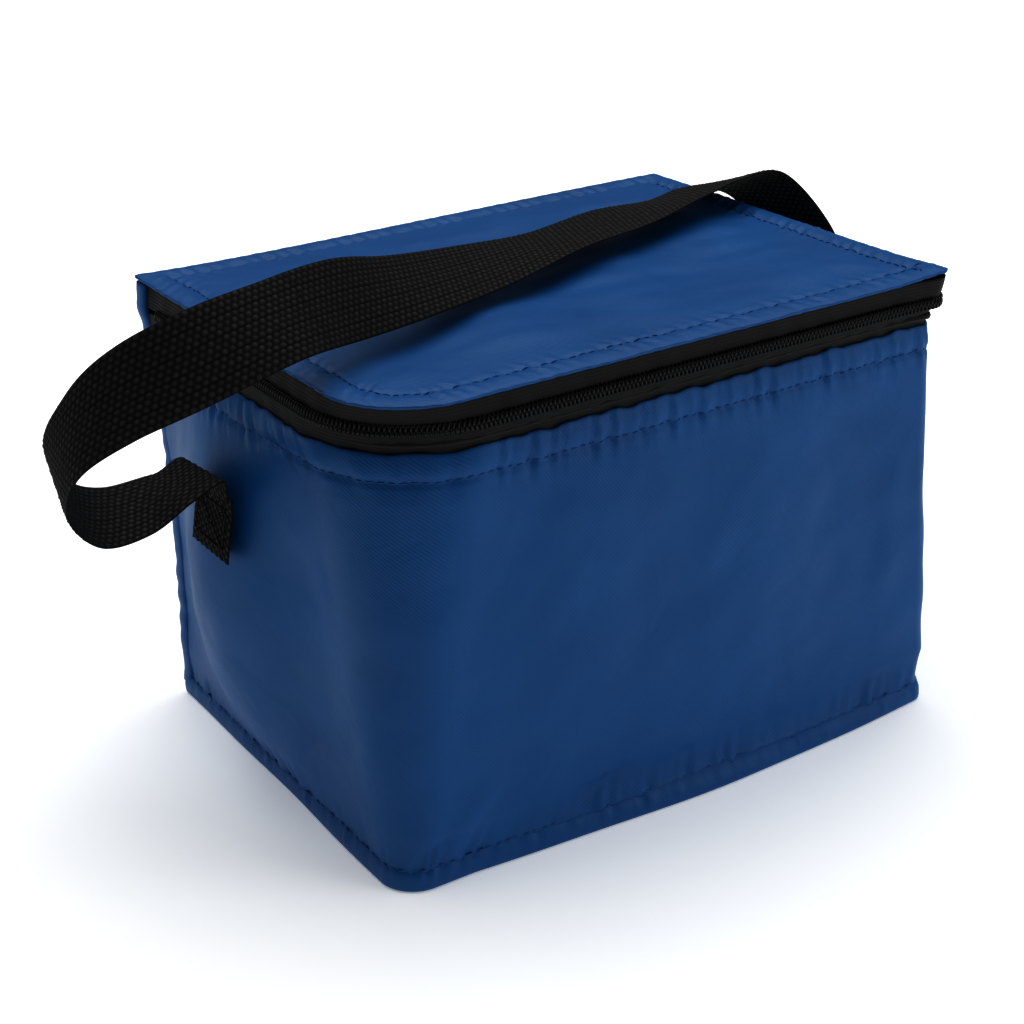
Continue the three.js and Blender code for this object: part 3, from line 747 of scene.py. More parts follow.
height += BACK_LEFT_RISE * back_left - BACK_RIGHT_DROP * back_right
moved = grid + corner_point(grid)[..., None] * POINT_REACH * np.array([0.93, -0.2])
moved = moved + back_left[..., None] * np.array([-1.4, 0.6])
run = run_length(border)
ring_step = np.roll(border, -1, axis=0) - np.roll(border, 1, axis=0)
normal = np.column_stack([ring_step[:, 1], -ring_step[:, 0]])
normal /= np.linalg.norm(normal, axis=1)[:, None]
scallop = 0.3 * ripple(run, (3.4, 5, 7.5), 44) + 0.3 * ripple(run, (26, 45), 45)
scallop = scallop * smooth(HALF_D - border[:, 1], 2, 14)
moved_border = moved.reshape(-1, 2)[border_index]
edge_z = height.reshape(-1)[border_index]
top = np.dstack([moved, height])
rings = []
flats = []
for out, drop in LID_EDGE_SECTION:
    share = smooth(drop, 0, 0.4)
    xy = moved_border + normal * (out + scallop * share)[:, None]
    rings.append(np.column_stack([xy, edge_z - drop + 0.3 * scallop]))
    flats.append(border + normal * drop)
lid = skirted("lid_cloth", top, rings, grid, flats)
dress(lid, BLUE_NYLON, "lid", ["lid_panel"])

# %% [markdown]
# ## The floor and the back
#
# The floor panel is flat where it rests. The back is a plain panel with a raised vertical seam at
# each side, where its edge and the wall's edge are sewn together and left standing.

# %% Build the floor panel
FLOOR_X = HALF_W - 0.5
FLOOR_Y = HALF_D - 0.5
floor_edges = lid_outline(FLOOR_X, FLOOR_X, FLOOR_Y, FLOOR_Y, 12, 6, across=110, along=84)
floor_grid = coons(*floor_edges)
floor_gap, _ = edge_distance(floor_grid, floor_grid.reshape(-1, 2)[rim_indices(*floor_grid.shape[:2])])
floor_waves = billow(floor_grid[..., 0], floor_grid[..., 1], 40, 51)
lifted = 0.25 + 0.25 * (1 + floor_waves / 2.5) * smooth(floor_gap, 6, 30)
floor_flip = floor_grid[:, ::-1]
floor_top = np.dstack([floor_flip, np.clip(lifted[:, ::-1], 0.05, 1.0)])
under = piece("bottom_cloth", floor_top, grid_faces(*floor_top.shape[:2]), floor_flip)
dress(thicken(under, NYLON_MM), BLUE_NYLON, "bag", ["bottom_panel"])

# %% Build the back panel and its standing seams
BACK_TOP = RIM_Z - 0.4
TOP_FLARE = 0.4
SEAM_RISE = 3.0
xs = np.linspace(-HALF_W - 0.3, HALF_W + 0.3, 150)
zs = np.linspace(HEM_STITCH_Z - 1, BACK_TOP, 110)
X, Z = np.meshgrid(xs, zs)
left_edge = np.interp(Z, WALL_HEIGHTS, LEFT_REACH) - back_pinch(Z)
right_edge = np.interp(Z, WALL_HEIGHTS, RIGHT_REACH)
X = X + (right_edge - HALF_W) * smooth(X, 40, HALF_W) - (left_edge - HALF_W) * smooth(-X, 40, HALF_W)
side_gap = HALF_W - np.abs(X)
calm = smooth(side_gap, 3, 30) * smooth(Z, 14, 40) * smooth(BACK_TOP - Z, 4, 30)
relief = 0.7 * billow(X, Z, 55, 61) * calm
relief += 1.6 * hump(X, -HALF_W + 10, HALF_W - 10) * hump(Z, 12, BACK_TOP - 6)
relief += 0.35 * ripple(Z, (8, 12, 17), 62) * groove(side_gap - 3, 7)
relief += 0.35 * ripple(X, (7, 10, 14), 63) * groove(Z - HEM_STITCH_Z - 2, 6)
back_points = np.dstack([X, HALF_D - 0.3 + np.clip(relief, -1.0, 3.5), Z])
back_cloth = piece("back_cloth", back_points[:, ::-1], grid_faces(len(zs), len(xs)),
                   np.dstack([X, Z])[:, ::-1])
dress(thicken(back_cloth, NYLON_MM), BLUE_NYLON, "bag", ["back_panel"])

SEAM_SECTION = [(-2.0, -4.6), (-0.1, -4.6), (0.5, -4.0), (0.7, -2.0), (0.7, -0.2), (0.4, 0.6),
                (-0.2, 0.9), (-0.8, 0.8), (-1.6, 0.2)]
for side, name in [(-1, "left"), (1, "right")]:
    heights = np.linspace(HEM_STITCH_Z - 2.5, BACK_TOP + SEAM_RISE, 120)
    wave = 0.35 * ripple(heights, (7, 11, 18), 65 + side)
    reach = np.interp(heights, WALL_HEIGHTS, LEFT_REACH if side < 0 else RIGHT_REACH)
    reach = reach - (back_pinch(heights) if side < 0 else 0) + TOP_FLARE * smooth(heights, 118, 148)
    ring_list = []
    flat_list = []
    for k, (out, depth) in enumerate(SEAM_SECTION):
        seam_y = HALF_D + depth * (1 + 0 * wave) + wave * 0.6
        ring_list.append(np.column_stack([side * (reach + out + wave * 0.5), seam_y, heights]))
        flat_list.append(np.column_stack([heights, np.full(len(heights), 2.0 * k)]))
    columns, count = len(heights), len(SEAM_SECTION)
    faces = grid_faces(count, columns).tolist()
    last = (count - 1) * columns
    faces += [[last + j, last + j + 1, j + 1, j] for j in range(columns - 1)]
    faces.append([k * columns for k in range(count)])
    faces.append([k * columns + columns - 1 for k in range(count)][::-1])
    if side < 0:
        faces = [f[::-1] for f in faces]
    seam = piece(f"back_seam_cloth_{name}", np.array(ring_list), faces, np.array(flat_list))
    dress(seam, BLUE_NYLON, "bag", [f"back_seam_{name}"])

# %% [markdown]
# ## The cloth hinge
#
# Behind the lid there is no zip: a folded strip of the same nylon is sewn to the back panel and to
# the lid, and the lid turns on it.

# %% Build the hinge strip
HINGE_LINE = [(0.3, -11), (0.9, -9), (1.1, -5.5), (1.15, -2.5), (1.05, 0.0), (0.8, 1.5), (0.2, 2.5),
              (-1.2, 3.0), (-3.0, 3.1), (-6.0, 3.0)]
hinge_x = np.linspace(-HALF_W - 0.8, HALF_W + 0.6, 190)
wave = 0.22 * ripple(hinge_x, (7, 10, 15), 71)
hinge_rows = []
hinge_flat = []
for k, (out, rise) in enumerate(HINGE_LINE):
    hinge_z = RIM_Z + rise - 1.0 + wave * 0.5
    hinge_rows.append(np.column_stack([hinge_x, HALF_D + out + wave * 0.6, hinge_z]))
    hinge_flat.append(np.column_stack([hinge_x, np.full(len(hinge_x), 3.0 * k)]))
hinge = piece("hinge_cloth", np.array(hinge_rows)[:, ::-1], grid_faces(len(HINGE_LINE), len(hinge_x)),
              np.array(hinge_flat)[:, ::-1])
dress(thicken(hinge, NYLON_MM), BLUE_NYLON)
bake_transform(hinge)

# %% [markdown]
# ## Zip tapes and coil
#
# Each tape is a thin woven band tucked in behind the cloth. The coil is the zip's teeth: a nylon
# thread wound in a flat spiral, one row on each tape, whose turns lock between each other. Here each
# turn is its own short bent rod, 1.45 mm from the next, and two thin core cords run through each row.

# %% Build the two tapes
TAPE_IN = 1.6
TAPE_THICK = 0.6
TAPE_GAP = 0.9
TAPE_END = HALF_D - 1.6


def tape(name, low, high, body, stands_for, seed):
    """A woven band that leans with the wall: every height takes the plan of the wall at that height."""
    rise = np.linspace(low, high, 12)
    sheet, flat = [], []
    for z in rise:
        line, outward = wall_plan(z, inset=TAPE_IN, back=TAPE_END, swell=False)
        s = run_length(line)
        wave = 0.12 * ripple(s, (9, 14), seed)
        sheet.append(np.column_stack([line + outward * wave[:, None], np.full(len(s), z)]))
        flat.append(np.column_stack([s, np.full(len(s), z)]))
    made = piece(name, np.array(sheet), grid_faces(len(rise), len(s)), np.array(flat))
    made = thicken(made, TAPE_THICK)
    made.modifiers[0].offset = 1
    return dress(made, ZIP_TAPE, body, [stands_for])


tape("lower_zip_tape_cloth", TAPE_LOW, ZIP_Z - TAPE_GAP, "bag", "body_zip_tape", 81)
tape("upper_zip_tape_cloth", ZIP_Z + TAPE_GAP, LID_TOP - 1.6, "lid", "lid_zip_tape", 82)

# %% Build the two rows of teeth
PITCH = 1.45
TOOTH = [(-1.5, 1.75), (-0.7, 1.8), (-0.1, 1.55), (0.2, 0.95), (0.15, 0.35), (-0.2, -0.1), (-0.8, -0.2)]
TOOTH_R = [0.3, 0.34, 0.36, 0.36, 0.38, 0.4, 0.34]
TOOTH_LEAN = 0.14
CORD_R = 0.5


def tube(path, radius, sides=6):
    """Rings of points round a path, with closing faces."""
    path = np.asarray(path, float)
    tangent = np.gradient(path, axis=0)
    tangent /= np.linalg.norm(tangent, axis=1)[:, None]
    across = np.cross(tangent, [0.13, 0.21, 0.97])
    across /= np.linalg.norm(across, axis=1)[:, None]
    other = np.cross(tangent, across)
    turn = np.arange(sides) * 2 * math.pi / sides
    radius = np.broadcast_to(radius, len(path))[:, None, None]
    rings = path[:, None] + radius * (np.cos(turn)[None, :, None] * across[:, None]
                                       + np.sin(turn)[None, :, None] * other[:, None])
    faces = grid_faces(len(path), sides, closed=True).tolist()
    faces.append(list(range(sides))[::-1])
    faces.append([(len(path) - 1) * sides + k for k in range(sides)])
    return rings.reshape(-1, 3), faces


def merge(parts):
    points, faces, start = [], [], 0
    for p, f in parts:
        points.append(p)
        faces += [[start + i for i in face] for face in f]
        start += len(p)
    return np.concatenate(points), faces


def along_line(line, outward, at):
    s = run_length(line)
    place = np.column_stack([np.interp(at, s, line[:, k]) for k in (0, 1)])
    away = np.column_stack([np.interp(at, s, outward[:, k]) for k in (0, 1)])
    away /= np.linalg.norm(away, axis=1)[:, None]
    return place, away


def teeth(name, body, stands_for, up, offset):
    line, outward = wall_plan(ZIP_Z, inset=-0.3, back=COIL_BACK)
    total = run_length(line)[-1]
    at = np.arange(PITCH + offset, total - PITCH, PITCH)
    place, away = along_line(line, outward, at)
    parts = []
    for p, n in zip(place, away):
        forward = np.array([-n[1], n[0]])
        path = [[*(p + n * out + forward * TOOTH_LEAN * rise), ZIP_Z + up * rise] for out, rise in TOOTH]
        parts.append(tube(path, TOOTH_R))
    for out, rise in [(-1.0, 1.15), (-0.9, 0.45)]:
        cord, _ = along_line(line + outward * out, outward, np.arange(0.5, total - 0.5, 2.0))
        parts.append(tube(np.column_stack([cord, np.full(len(cord), ZIP_Z + up * rise)]), CORD_R))
    points, faces = merge(parts)
    print(f"{name}: {len(at)} turns")
    return dress(piece(name, points, faces), COIL, body, [stands_for])


teeth("lower_zip_coil_turns", "bag", "body_zip_coil", -1, 0.0)
teeth("upper_zip_coil_turns", "lid", "lid_zip_coil", 1, PITCH / 2)

# %% [markdown]
# ## Stitches
#
# Topstitching is what tells the eye that cloth was sewn. Every stitch is a short sagging piece of
# thread that dives into the cloth at both ends. The same function sews along any line of points.


# %% Sew along a line
STITCH = 2.7
STITCH_GAP = 0.55
THREAD_R = 0.24
STITCH_SHARE = np.array([0, 0.12, 0.35, 0.65, 0.88, 1.0])
STITCH_RISE = np.array([-0.35, 0.02, 0.2, 0.2, 0.02, -0.35])
STITCH_WAIST = np.array([0.7, 1, 1, 1, 1, 0.7])


def sew(name, lines, material, body, length=STITCH, gap=STITCH_GAP, radius=THREAD_R):
    """Lines are pairs of points and outward directions. A stitch lies on the cloth between two holes."""
    parts = []
    for points, outs in lines:
        points, outs = np.asarray(points, float), np.asarray(outs, float)
        s = run_length(points)
        starts = np.arange(gap, s[-1] - length, length + gap)
        for a in starts:
            at = a + length * STITCH_SHARE
            place = np.column_stack([np.interp(at, s, points[:, k]) for k in range(3)])
            away = np.column_stack([np.interp(at, s, outs[:, k]) for k in range(3)])
            away /= np.maximum(np.linalg.norm(away, axis=1), 1e-6)[:, None]
            parts.append(tube(place + away * STITCH_RISE[:, None], radius * STITCH_WAIST, 5))
    points, faces = merge(parts)
    print(f"{name}: {len(parts)} stitches")
    return dress(piece(name, points, faces), material, body)


def wall_line(z, trim=2):
    line, outward = wall_plan(z)
    lift = wall_relief(RUN, z)
    points = np.column_stack([line + outward * lift[:, None], np.full(len(line), z)])
    points[:, 2] += edge_wave * smooth(z, FOLD_Z - EDGE_WAVE_DEPTH, FOLD_Z)
    return points[trim:-trim], np.column_stack([outward, 0 * outward[:, 0]])[trim:-trim]


def hem_line():
    line, outward = closed_plan(8, HEM_BACK)
    s = run_length(line)
    lift = hem_relief(s, 0.0, HEM_THREAD_Z)
    points = np.column_stack([line + outward * (0.1 + lift[0])[:, None], HEM_THREAD_Z + lift[1]])
    return points, np.column_stack([outward, 0 * outward[:, 0]])


def lid_line(depth):
    """A line of points on the lid's cloth, a fixed distance in from its edge."""
    inner = border - normal * depth
    keep = inner[:, 1] < HALF_D - depth - 0.5
    start = int(np.argmax(~keep))
    order = np.roll(np.arange(len(inner)), -start)
    order = order[keep[order]]
    tree = plan_tree(grid.reshape(-1, 2))
    hits = [tree.find((inner[k][0], inner[k][1], 0))[1] for k in order]
    points = top.reshape(-1, 3)[hits]
    keep_far = np.concatenate([[True], np.linalg.norm(np.diff(points, axis=0), axis=1) > 0.05])
    points = points[keep_far]
    return points, np.tile([0, 0, 1.0], (len(points), 1))


sew("wall_top_stitches", [wall_line(FOLD_Z - TOP_STITCH_DROP)], BLUE_THREAD, "bag")
sew("hem_stitches", [hem_line()], BLUE_THREAD, "bag")
sew("lid_stitches", [lid_line(LID_STITCH_IN)], BLUE_THREAD, "lid")

# %% [markdown]
# ## The carry strap
#
# The strap is one inch of woven webbing, slack enough to stand up in a loop. Its line is a list of
# places, each with the way the webbing's width points there, and a smooth curve runs through them.
# The weave is in the mesh: rows of knuckles, each row half a step behind the next.

# %% The strap's run
STRAP_W = 25.4
STRAP_T = 1.4
WEAVE_ROWS = 15
WEAVE_STEP = 2.4
WEAVE_HIGH = 0.55
STRAP_RUN = np.array([
    [-115, 3, 107, 0, 10, 0],
    [-117, 3, 114, -1, 10, 0],
    [-127, 1, 112, -1, 10, 0],
    [-142, 0, 109, -2, 10, 3],
    [-157, -5, 114, 0, 8, 5],
    [-167, -15, 130, 1, 8, 6],
    [-166, -29, 147, 2, 8, 6],
    [-155, -39, 159, 0, 7, 7],
    [-136, -45, 167, -2, 5, 9],
    [-110, -42, 171, -2, 7, 7],
    [-83, -31, 169, -2, 6, 8],
    [-55, -20, 165, -2, 8, 5],
    [-25, -9, 162, -3, 9, 3],
    [8, 1, 161, -3, 10, 0],
    [42, 12, 160, -3, 10, 0],
    [71, 21, 159, -3, 8, -2],
    [93, 28, 159, -3, 10, -3],
    [115.5, 31, 154, -2, 7, -4],
    [129.5, 24, 134, -4, 7, -5],
    [131, 13, 119, -2, 9, -5],
    [121, 5, 116, -1, 10, -2],
    [115, 4, 107, 0, 10, 0],
], float)


def catmull(points, t):
    """Places at t (counted in points) on the smooth curve through the points."""
    padded = np.vstack([2 * points[0] - points[1], points, 2 * points[-1] - points[-2]])
    k = np.clip(t.astype(int), 0, len(points) - 2)
    w = (t - k)[:, None]
    a, b, c, d = (padded[k + i] for i in range(4))
    return 0.5 * (2 * b + (c - a) * w + (2 * a - 5 * b + 4 * c - d) * w**2 + (3 * b - a - 3 * c + d) * w**3)


def weave(along, across):
    """Height of the knuckles, 0 to 1, on the flat webbing."""
    row_w = STRAP_W / WEAVE_ROWS
    v = (across + STRAP_W / 2) / row_w
    row = np.floor(v)
    over = np.abs(np.sin(np.pi * v)) ** 0.7
    step = 0.5 + 0.5 * np.cos(2 * np.pi * (along / WEAVE_STEP + 0.5 * (row % 2)))
    beat = np.floor(along / WEAVE_STEP + 0.5 * (row % 2) + 0.5)
    uneven = 0.5 + 0.5 * np.sin(12.9 * row + 78.2 * beat + 3.1 * np.sin(5.7 * beat + row))
    return over * (0.06 + (0.66 + 0.28 * uneven) * step**0.8)


def ribbon(name, middle, width_way, from_mm=0.0):
    """Webbing along a line of middles, with both faces woven and both edges rounded."""
    s = from_mm + run_length(middle)
    tangent = np.gradient(middle, axis=0)
    tangent /= np.linalg.norm(tangent, axis=1)[:, None]
    across = width_way - np.sum(width_way * tangent, 1)[:, None] * tangent
    across /= np.linalg.norm(across, axis=1)[:, None]
    face = np.cross(across, tangent)
    v = STRAP_W / 2 * np.linspace(-1, 1, 66)
    edge = np.sqrt(np.clip(1 - np.abs(v / (STRAP_W / 2)) ** 14, 0.03, 1))
    S, V = np.meshgrid(s, v, indexing="ij")
    knuckle = weave(S, V)
    half = (STRAP_T / 2 - WEAVE_HIGH * 0.45) * edge[None] + WEAVE_HIGH * (knuckle - 0.4) * edge[None]
    up = middle[:, None] + across[:, None] * V[..., None] + face[:, None] * half[..., None]
    down = middle[:, None] + across[:, None] * V[..., None] - face[:, None] * half[..., None]
    loop = np.concatenate([up, down[:, ::-1]], 1)
    flat = np.concatenate([np.dstack([S, V]), np.dstack([S, V])[:, ::-1]], 1)
    # Knuckle heights kept per point; the webbing finish turns them into painted highlight on the tops and
    # painted shade between.
    tops = np.concatenate([knuckle, knuckle[:, ::-1]], 1)
    count = loop.shape[1]
    faces = grid_faces(len(s), count, closed=True).tolist()
    faces.append(list(range(count)))
    faces.append([(len(s) - 1) * count + k for k in range(count)][::-1])
    return piece(name, loop, [f[::-1] for f in faces], flat, tops)


fine = np.linspace(0, len(STRAP_RUN) - 1, 4000)
fine_middle = catmull(STRAP_RUN[:, :3], fine)
fine_s = run_length(fine_middle)
steps = int(fine_s[-1] / 0.62)
t = np.interp(np.linspace(0, fine_s[-1], steps), fine_s, fine)
strap_middle = catmull(STRAP_RUN[:, :3], t)
strap_way = catmull(STRAP_RUN[:, 3:] / np.linalg.norm(STRAP_RUN[:, 3:], axis=1)[:, None], t)
strap_s = run_length(strap_middle)
print(f"free webbing {fine_s[-1]:.0f} mm")

# %% [markdown]
# The webbing is cut into four lengths that meet end to end: two legs, sewn to the sides, and two
# lengths over the lid.

# %% Build the four lengths
LEFT_CUT = 9.45
RIGHT_CUT = 16.35
MIDDLE_CUT = 13.0
PARTS = [
    ("strap_left_leg", 0, LEFT_CUT, ("bag", "lid"), (0, 0, 0.108), (0, 0, 0.170)),
    ("strap_left_half", LEFT_CUT, MIDDLE_CUT, ("lid", "strap"), (-0.098, 0, 0.16), (0.0, 0, 0.16)),
    ("strap_right_half", MIDDLE_CUT, RIGHT_CUT, ("lid", "strap"), (0.098, 0, 0.16), (0.01, 0, 0.16)),
    ("strap_right_leg", RIGHT_CUT, 21, ("bag", "lid"), (0, 0, 0.108), (0, 0, 0.159)),
]
for name, first, last, bodies, start, end in PARTS:
    keep = np.where((t >= first) & (t <= last))[0]
    keep = np.arange(keep[0], min(keep[-1] + 2, len(t)))
    strap_piece = ribbon(name, strap_middle[keep], strap_way[keep], strap_s[keep[0]])
    stands_for = ["carry_strap"] if name == "strap_left_half" else []
    dress(strap_piece, WEBBING, None, stands_for)
    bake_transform(strap_piece)

# %% Build the two sewn ends and their crossed stitching
SEWN_BOTTOM, SEWN_TOP = SEWN_LOW[2], SEWN_HIGH[2]
SEWN_Y = (SEWN_LOW[1] + SEWN_HIGH[1]) / 2
for side, name in [(-1, "left"), (1, "right")]:
    z = np.linspace(SEWN_BOTTOM - 0.6, SEWN_TOP + 1.2, 60)
    reach = np.array([at_height(v, LEFT_REACH if side < 0 else RIGHT_REACH) for v in z])
    out = reach + side_swell(SEWN_Y, z) + 1.55 + 1.1 * smooth(z, SEWN_TOP - 5, SEWN_TOP + 1.2)
    middle = np.column_stack([side * out, np.full(len(z), SEWN_Y), z])
    way = np.tile([0, 1.0, 0], (len(z), 1))
    end_piece = ribbon(f"strap_sewn_{name}", middle, way)
    if side > 0:
        end_piece.data.flip_normals()
    dress(end_piece, WEBBING, "bag", [f"strap_end_{name}"])
    half = STRAP_W / 2 - 3
    low, high = SEWN_BOTTOM + 3, SEWN_TOP - 3
    frame_lines = [[(-half, low), (half, low)], [(half, low), (half, high)],
                   [(half, high), (-half, high)], [(-half, high), (-half, low)],
                   [(-half, low), (half, high)], [(half, low), (-half, high)]]
    sewn = []
    for (y0, z0), (y1, z1) in frame_lines:
        w = np.linspace(0, 1, 24)
        zz = z0 + (z1 - z0) * w
        xx = np.interp(zz, z, out) + STRAP_T / 2 + 0.1
        sewn.append((np.column_stack([side * xx, SEWN_Y + y0 + (y1 - y0) * w, zz]),
                     np.tile([side * 1.0, 0, 0], (24, 1))))
    sew(f"strap_cross_stitches_{name}", sewn, BLACK_THREAD, "bag", length=2.2, gap=0.5)

# %% [markdown]
# ## Inside: lining, bindings, foam
#
# The lining is one welded tub of film. Its top edge and the lid pad's edge are bound with black
# ribbon, stitched through. The foam stays hidden between cloth and lining.

# %% Build the wall's foam
FOAM_IN = 2.6
FOAM_THICK = 3.6
foam_levels = np.linspace(box_mm("wall_foam")[0][2] + 0.4, box_mm("wall_foam")[1][2] - 0.3, 24)
foam_rows = []
for z in foam_levels:
    line, _ = wall_plan(z, inset=FOAM_IN, back=HALF_D - FOAM_IN - 3)
    foam_rows.append(np.column_stack([line, np.full(len(line), z)]))
foam = piece("wall_foam_sheet", np.array(foam_rows), grid_faces(len(foam_rows), len(foam_rows[0])))
dress(thicken(foam, FOAM_THICK), FOAM, "bag", ["wall_foam"])

# %% Build the back's foam
BACK_FOAM = box_mm("back_foam")
board_x = np.linspace(-HALF_W + 6, HALF_W - 5, 30)
board_z = np.linspace(BACK_FOAM[0][2], BACK_FOAM[1][2] - 0.2, 20)
board_X, board_Z = np.meshgrid(board_x, board_z)
board_points = np.dstack([board_X, np.full(board_X.shape, BACK_FOAM[1][1] - 0.8), board_Z])
board = piece("back_foam_sheet", board_points[:, ::-1], grid_faces(len(board_z), len(board_x)))
dress(thicken(board, FOAM_THICK - 0.4), FOAM, "bag", ["back_foam"])

# %% Build the lining
LINER_IN = 6.8
TUB_FLOOR = 6.2
TUB_TOP = box_mm("wall_foam")[1][2] + 1.9
TUB_FOOT_R = 6
HINGE_RISE = 6
TUB_BACK = HALF_D - 5.6


def tub_ring(z, inset=LINER_IN):
    line, outward = wall_plan(z, inset=inset, back=TUB_BACK - 3)
    x = np.linspace(line[-1, 0] - 3, line[0, 0] + 3, FRONT_POINTS)
    rear = np.column_stack([x, np.full(len(x), TUB_BACK)])
    return np.concatenate([line, rear])


tub_rows = []
tub_levels = np.concatenate([np.linspace(TUB_TOP, TUB_FLOOR + TUB_FOOT_R, 46), [9.5, 7.6, 6.6, TUB_FLOOR]])
tub_s = run_length(tub_ring(70))
for z in tub_levels:
    share = min(1, (z - TUB_FLOOR) / TUB_FOOT_R)
    tuck = TUB_FOOT_R * (1 - math.sqrt(max(0, 1 - (1 - share) ** 2)))
    ring = tub_ring(z, LINER_IN + tuck)
    wave = 0.5 * billow(tub_s, 0 * tub_s + z, 34, 91) * smooth(z, 8, 30) * smooth(TUB_TOP - z, 1, 20)
    centre = ring.mean(0)
    ring = ring + (centre - ring) / np.linalg.norm(centre - ring, axis=1)[:, None] * (wave + 0.5)[:, None]
    rise = HINGE_RISE * smooth(ring[:, 1], TUB_BACK - 9, TUB_BACK - 1) * smooth(z, TUB_TOP - 30, TUB_TOP)
    tub_rows.append(np.column_stack([ring, z + rise]))
inner = tub_rows[-1]
centre = inner.mean(0)
for share in (0.85, 0.65, 0.45, 0.25, 0.08):
    ring = centre + (inner - centre) * share
    dip = 0.4 * billow(ring[:, 0], ring[:, 1], 40, 92)
    tub_rows.append(np.column_stack([ring[:, :2], TUB_FLOOR + 0.3 + np.clip(dip, -0.3, 0.8)]))
count = len(inner)
tub_faces = [f[::-1] for f in grid_faces(len(tub_rows), count, closed=True).tolist()]
tub_faces.append([(len(tub_rows) - 1) * count + k for k in range(count)][::-1])
tub = piece("lining_tub_film", np.array(tub_rows), tub_faces)
dress(thicken(tub, FILM_MM), SILVER, "bag", ["liner_tub"])

# %% Build the lid's foam
FOAM_TOP = 149.7
FOAM_BOTTOM = box_mm("lid_foam")[0][2]
pad_edges = lid_outline(96.5, 97.5, 71.5, HALF_D - 4, 30, 5, across=60, along=50)
pad_grid = coons(*pad_edges)
pad = piece("lid_foam_sheet", np.dstack([pad_grid, np.full(pad_grid.shape[:2], FOAM_TOP)]),
            grid_faces(*pad_grid.shape[:2]))
dress(thicken(pad, FOAM_TOP - FOAM_BOTTOM), FOAM, "lid", ["lid_foam"])

# %% Build the lid's lining
LINER_LOW = box_mm("lid_liner")[0][2]
film_edges = lid_outline(96.8, 97.8, 71.8, HALF_D - 2, 30, 4, across=120, along=90)
film_grid = coons(*film_edges)
film_gap, _ = edge_distance(film_grid, film_grid.reshape(-1, 2)[rim_indices(*film_grid.shape[:2])])
sag = (0.5 + 0.5 * billow(film_grid[..., 0], film_grid[..., 1], 36, 93)) * smooth(film_gap, 5, 22)
film_flip = film_grid[:, ::-1]
film_top = np.dstack([film_flip, LINER_LOW + 0.35 - 0.7 * sag[:, ::-1]])
film = piece("lid_lining_film", film_top, grid_faces(*film_top.shape[:2]), film_flip)
dress(thicken(film, FILM_MM), SILVER, "lid", ["lid_liner"])


# %% Build the bound edges
def bound_edge(name, low, high, inset, width, body, stands_for, seed):
    line, outward = wall_plan(ZIP_Z, back=HALF_D - 17, swell=False)
    mid = (low + high) / 2
    near, half, far = -inset, -inset - width / 2, -inset - width
    section = [(near, mid), (near - 0.3, low + 0.2), (half, low), (far + 0.3, low + 0.2),
               (far, mid), (far + 0.3, high - 0.2), (half, high), (near - 0.3, high - 0.2)]

    def relief(s, out, z):
        wave = ripple(s, (6, 9, 15), seed)
        return np.array([0.15 * wave, 0.12 * wave])

    made = band(name, section[::-1], lambda z: (line, outward), relief)
    dress(made, BINDING, body, [stands_for])
    return line, outward


line_b, out_b = bound_edge("tub_edge_binding", TUB_TOP - 2.0, TUB_TOP + 0.1, 2.6, 4.6, "bag",
                           "body_top_binding", 95)
LID_BIND = box_mm("lid_edge_binding")
line_l, out_l = bound_edge("lid_pad_edge_binding", LID_BIND[0][2], LID_BIND[1][2], 4.0, 3.2, "lid",
                           "lid_edge_binding", 96)
up = np.tile([0, 0, 1.0], (len(line_b), 1))
tub_thread = np.column_stack([line_b - out_b * 4.6, np.full(len(line_b), TUB_TOP + 0.1)])
lid_thread = np.column_stack([line_l - out_l * 5.6, np.full(len(line_l), LID_BIND[0][2])])
sew("tub_edge_stitches", [(tub_thread, up)], BLACK_THREAD, "bag")
sew("lid_pad_stitches", [(lid_thread, -up)], BLACK_THREAD, "lid")

# %% [markdown]
# ## Pieces kept from the frame
#
# The floor's foam, the slider, its pull tab and the small tabs over the coil's ends have their shape
# in the frame already. They only need their finish, and softened edges where light would catch them.

# %% Dress the kept nodes
KEPT = {
    "bottom_foam": (FOAM, 0),
    "zip_slider": (ENAMEL, 0.3), "zip_pull_tab": (ENAMEL, 0.25),
    "zip_end_tab_left": (ZIP_TAPE, 0.2), "zip_end_tab_right": (ZIP_TAPE, 0.2),
}
for name, (material, soften) in KEPT.items():
    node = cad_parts[name]
    node.data.materials.clear()
    node.data.materials.append(material)
    if soften:
        bevel = node.modifiers.new("softened edges", "BEVEL")
        bevel.width = soften * MM
        bevel.segments = 3
        bevel.limit_method = "ANGLE"
        bevel.harden_normals = False
print("kept nodes:", len(KEPT))

# %% [markdown]
# ## The studio
#
# A plain pale floor and soft light. A wide softbox above and behind lights the lid, two upright
# ones light the side and the front, and the gap between them leaves the bag's near corner darker.

# %% Camera
AZIMUTH = math.radians(-31.924)
ELEVATION = math.radians(24.685)
ROLL = math.radians(-1.958)
LENS_MM = 68.87
SENSOR_MM = 36
EYE = Vector((-321.37, -497.56, 341.97)) * MM
level = math.cos(ELEVATION)
backward = Vector((math.sin(AZIMUTH) * level, -math.cos(AZIMUTH) * level, math.sin(ELEVATION)))
rightward = Vector((0, 0, 1)).cross(backward).normalized()
upward = backward.cross(rightward)
rolled_right = rightward * math.cos(ROLL) + upward * math.sin(ROLL)
rolled_up = upward * math.cos(ROLL) - rightward * math.sin(ROLL)
camera_data = bpy.data.cameras.new("camera")
camera_data.lens = LENS_MM
camera_data.sensor_width = SENSOR_MM
camera_data.clip_start = 0.05
camera = bpy.data.objects.new("camera", camera_data)
rows = [[rolled_right[i], rolled_up[i], backward[i], EYE[i]] for i in range(3)]
camera.matrix_world = Matrix(rows + [[0, 0, 0, 1]])
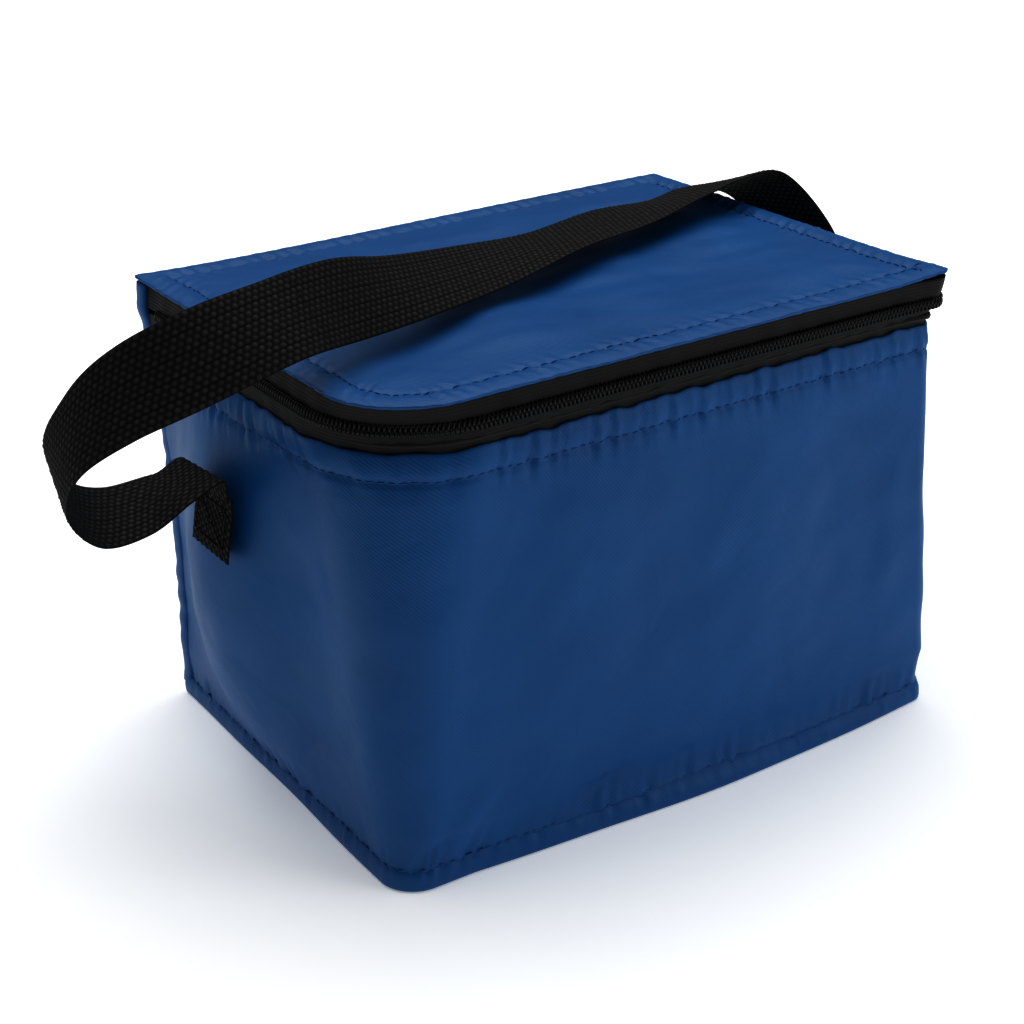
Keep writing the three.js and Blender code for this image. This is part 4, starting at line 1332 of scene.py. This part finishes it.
bpy.context.scene.collection.objects.link(camera)
bpy.context.scene.camera = camera
print("camera", [round(v, 3) for v in EYE])

# %% Floor, world and softboxes
FLOOR = 60.0
FLOOR_GLOW = 0.3
WORLD_LIGHT = 0.2
VIEW_GAMMA = 0.62
SOFTBOX_GLINT = 0.3
floor_mesh = bpy.data.meshes.new("studio_floor")
floor_corners = [(-FLOOR, -FLOOR, 0), (FLOOR, -FLOOR, 0), (FLOOR, FLOOR, 0), (-FLOOR, FLOOR, 0)]
floor_mesh.from_pydata(floor_corners, [], [(0, 1, 2, 3)])
floor = bpy.data.objects.new("studio_floor", floor_mesh)
floor.location.z = -0.0002
bpy.context.scene.collection.objects.link(floor)
paper, _, paper_shader = blank("white_studio_paper")
set_shader(paper_shader, base=linear("#f6f6f6"), roughness=0.9)
paper_shader.inputs["Emission Color"].default_value = linear("#ffffff")
paper_shader.inputs["Emission Strength"].default_value = FLOOR_GLOW
floor_mesh.materials.append(paper)

world = bpy.data.worlds.new("studio")
world.use_nodes = True
world.node_tree.nodes["Background"].inputs["Color"].default_value = linear("#ffffff")
world.node_tree.nodes["Background"].inputs["Strength"].default_value = WORLD_LIGHT
bpy.context.scene.world = world
bpy.context.scene.view_settings.view_transform = "Standard"
bpy.context.scene.view_settings.gamma = VIEW_GAMMA


def softbox(name, place, target, size, power):
    data = bpy.data.lights.new(name, "AREA")
    data.shape = "RECTANGLE"
    data.size, data.size_y = size
    data.energy = power
    data.specular_factor = SOFTBOX_GLINT
    light = bpy.data.objects.new(name, data)
    light.location = place
    light.rotation_euler = (Vector(target) - Vector(place)).to_track_quat("-Z", "Y").to_euler()
    bpy.context.scene.collection.objects.link(light)


softbox("overhead_softbox", (0.3, 0.7, 2.2), (0, 0.3, 0), (3.2, 2.6), 62)
softbox("left_softbox", (-1.2, 0.55, 0.5), (0, 0, 0.08), (0.6, 1.0), 0.9)
softbox("front_softbox", (0.85, -1.0, 0.6), (0, 0, 0.08), (0.7, 1.0), 4.8)
print("three softboxes")
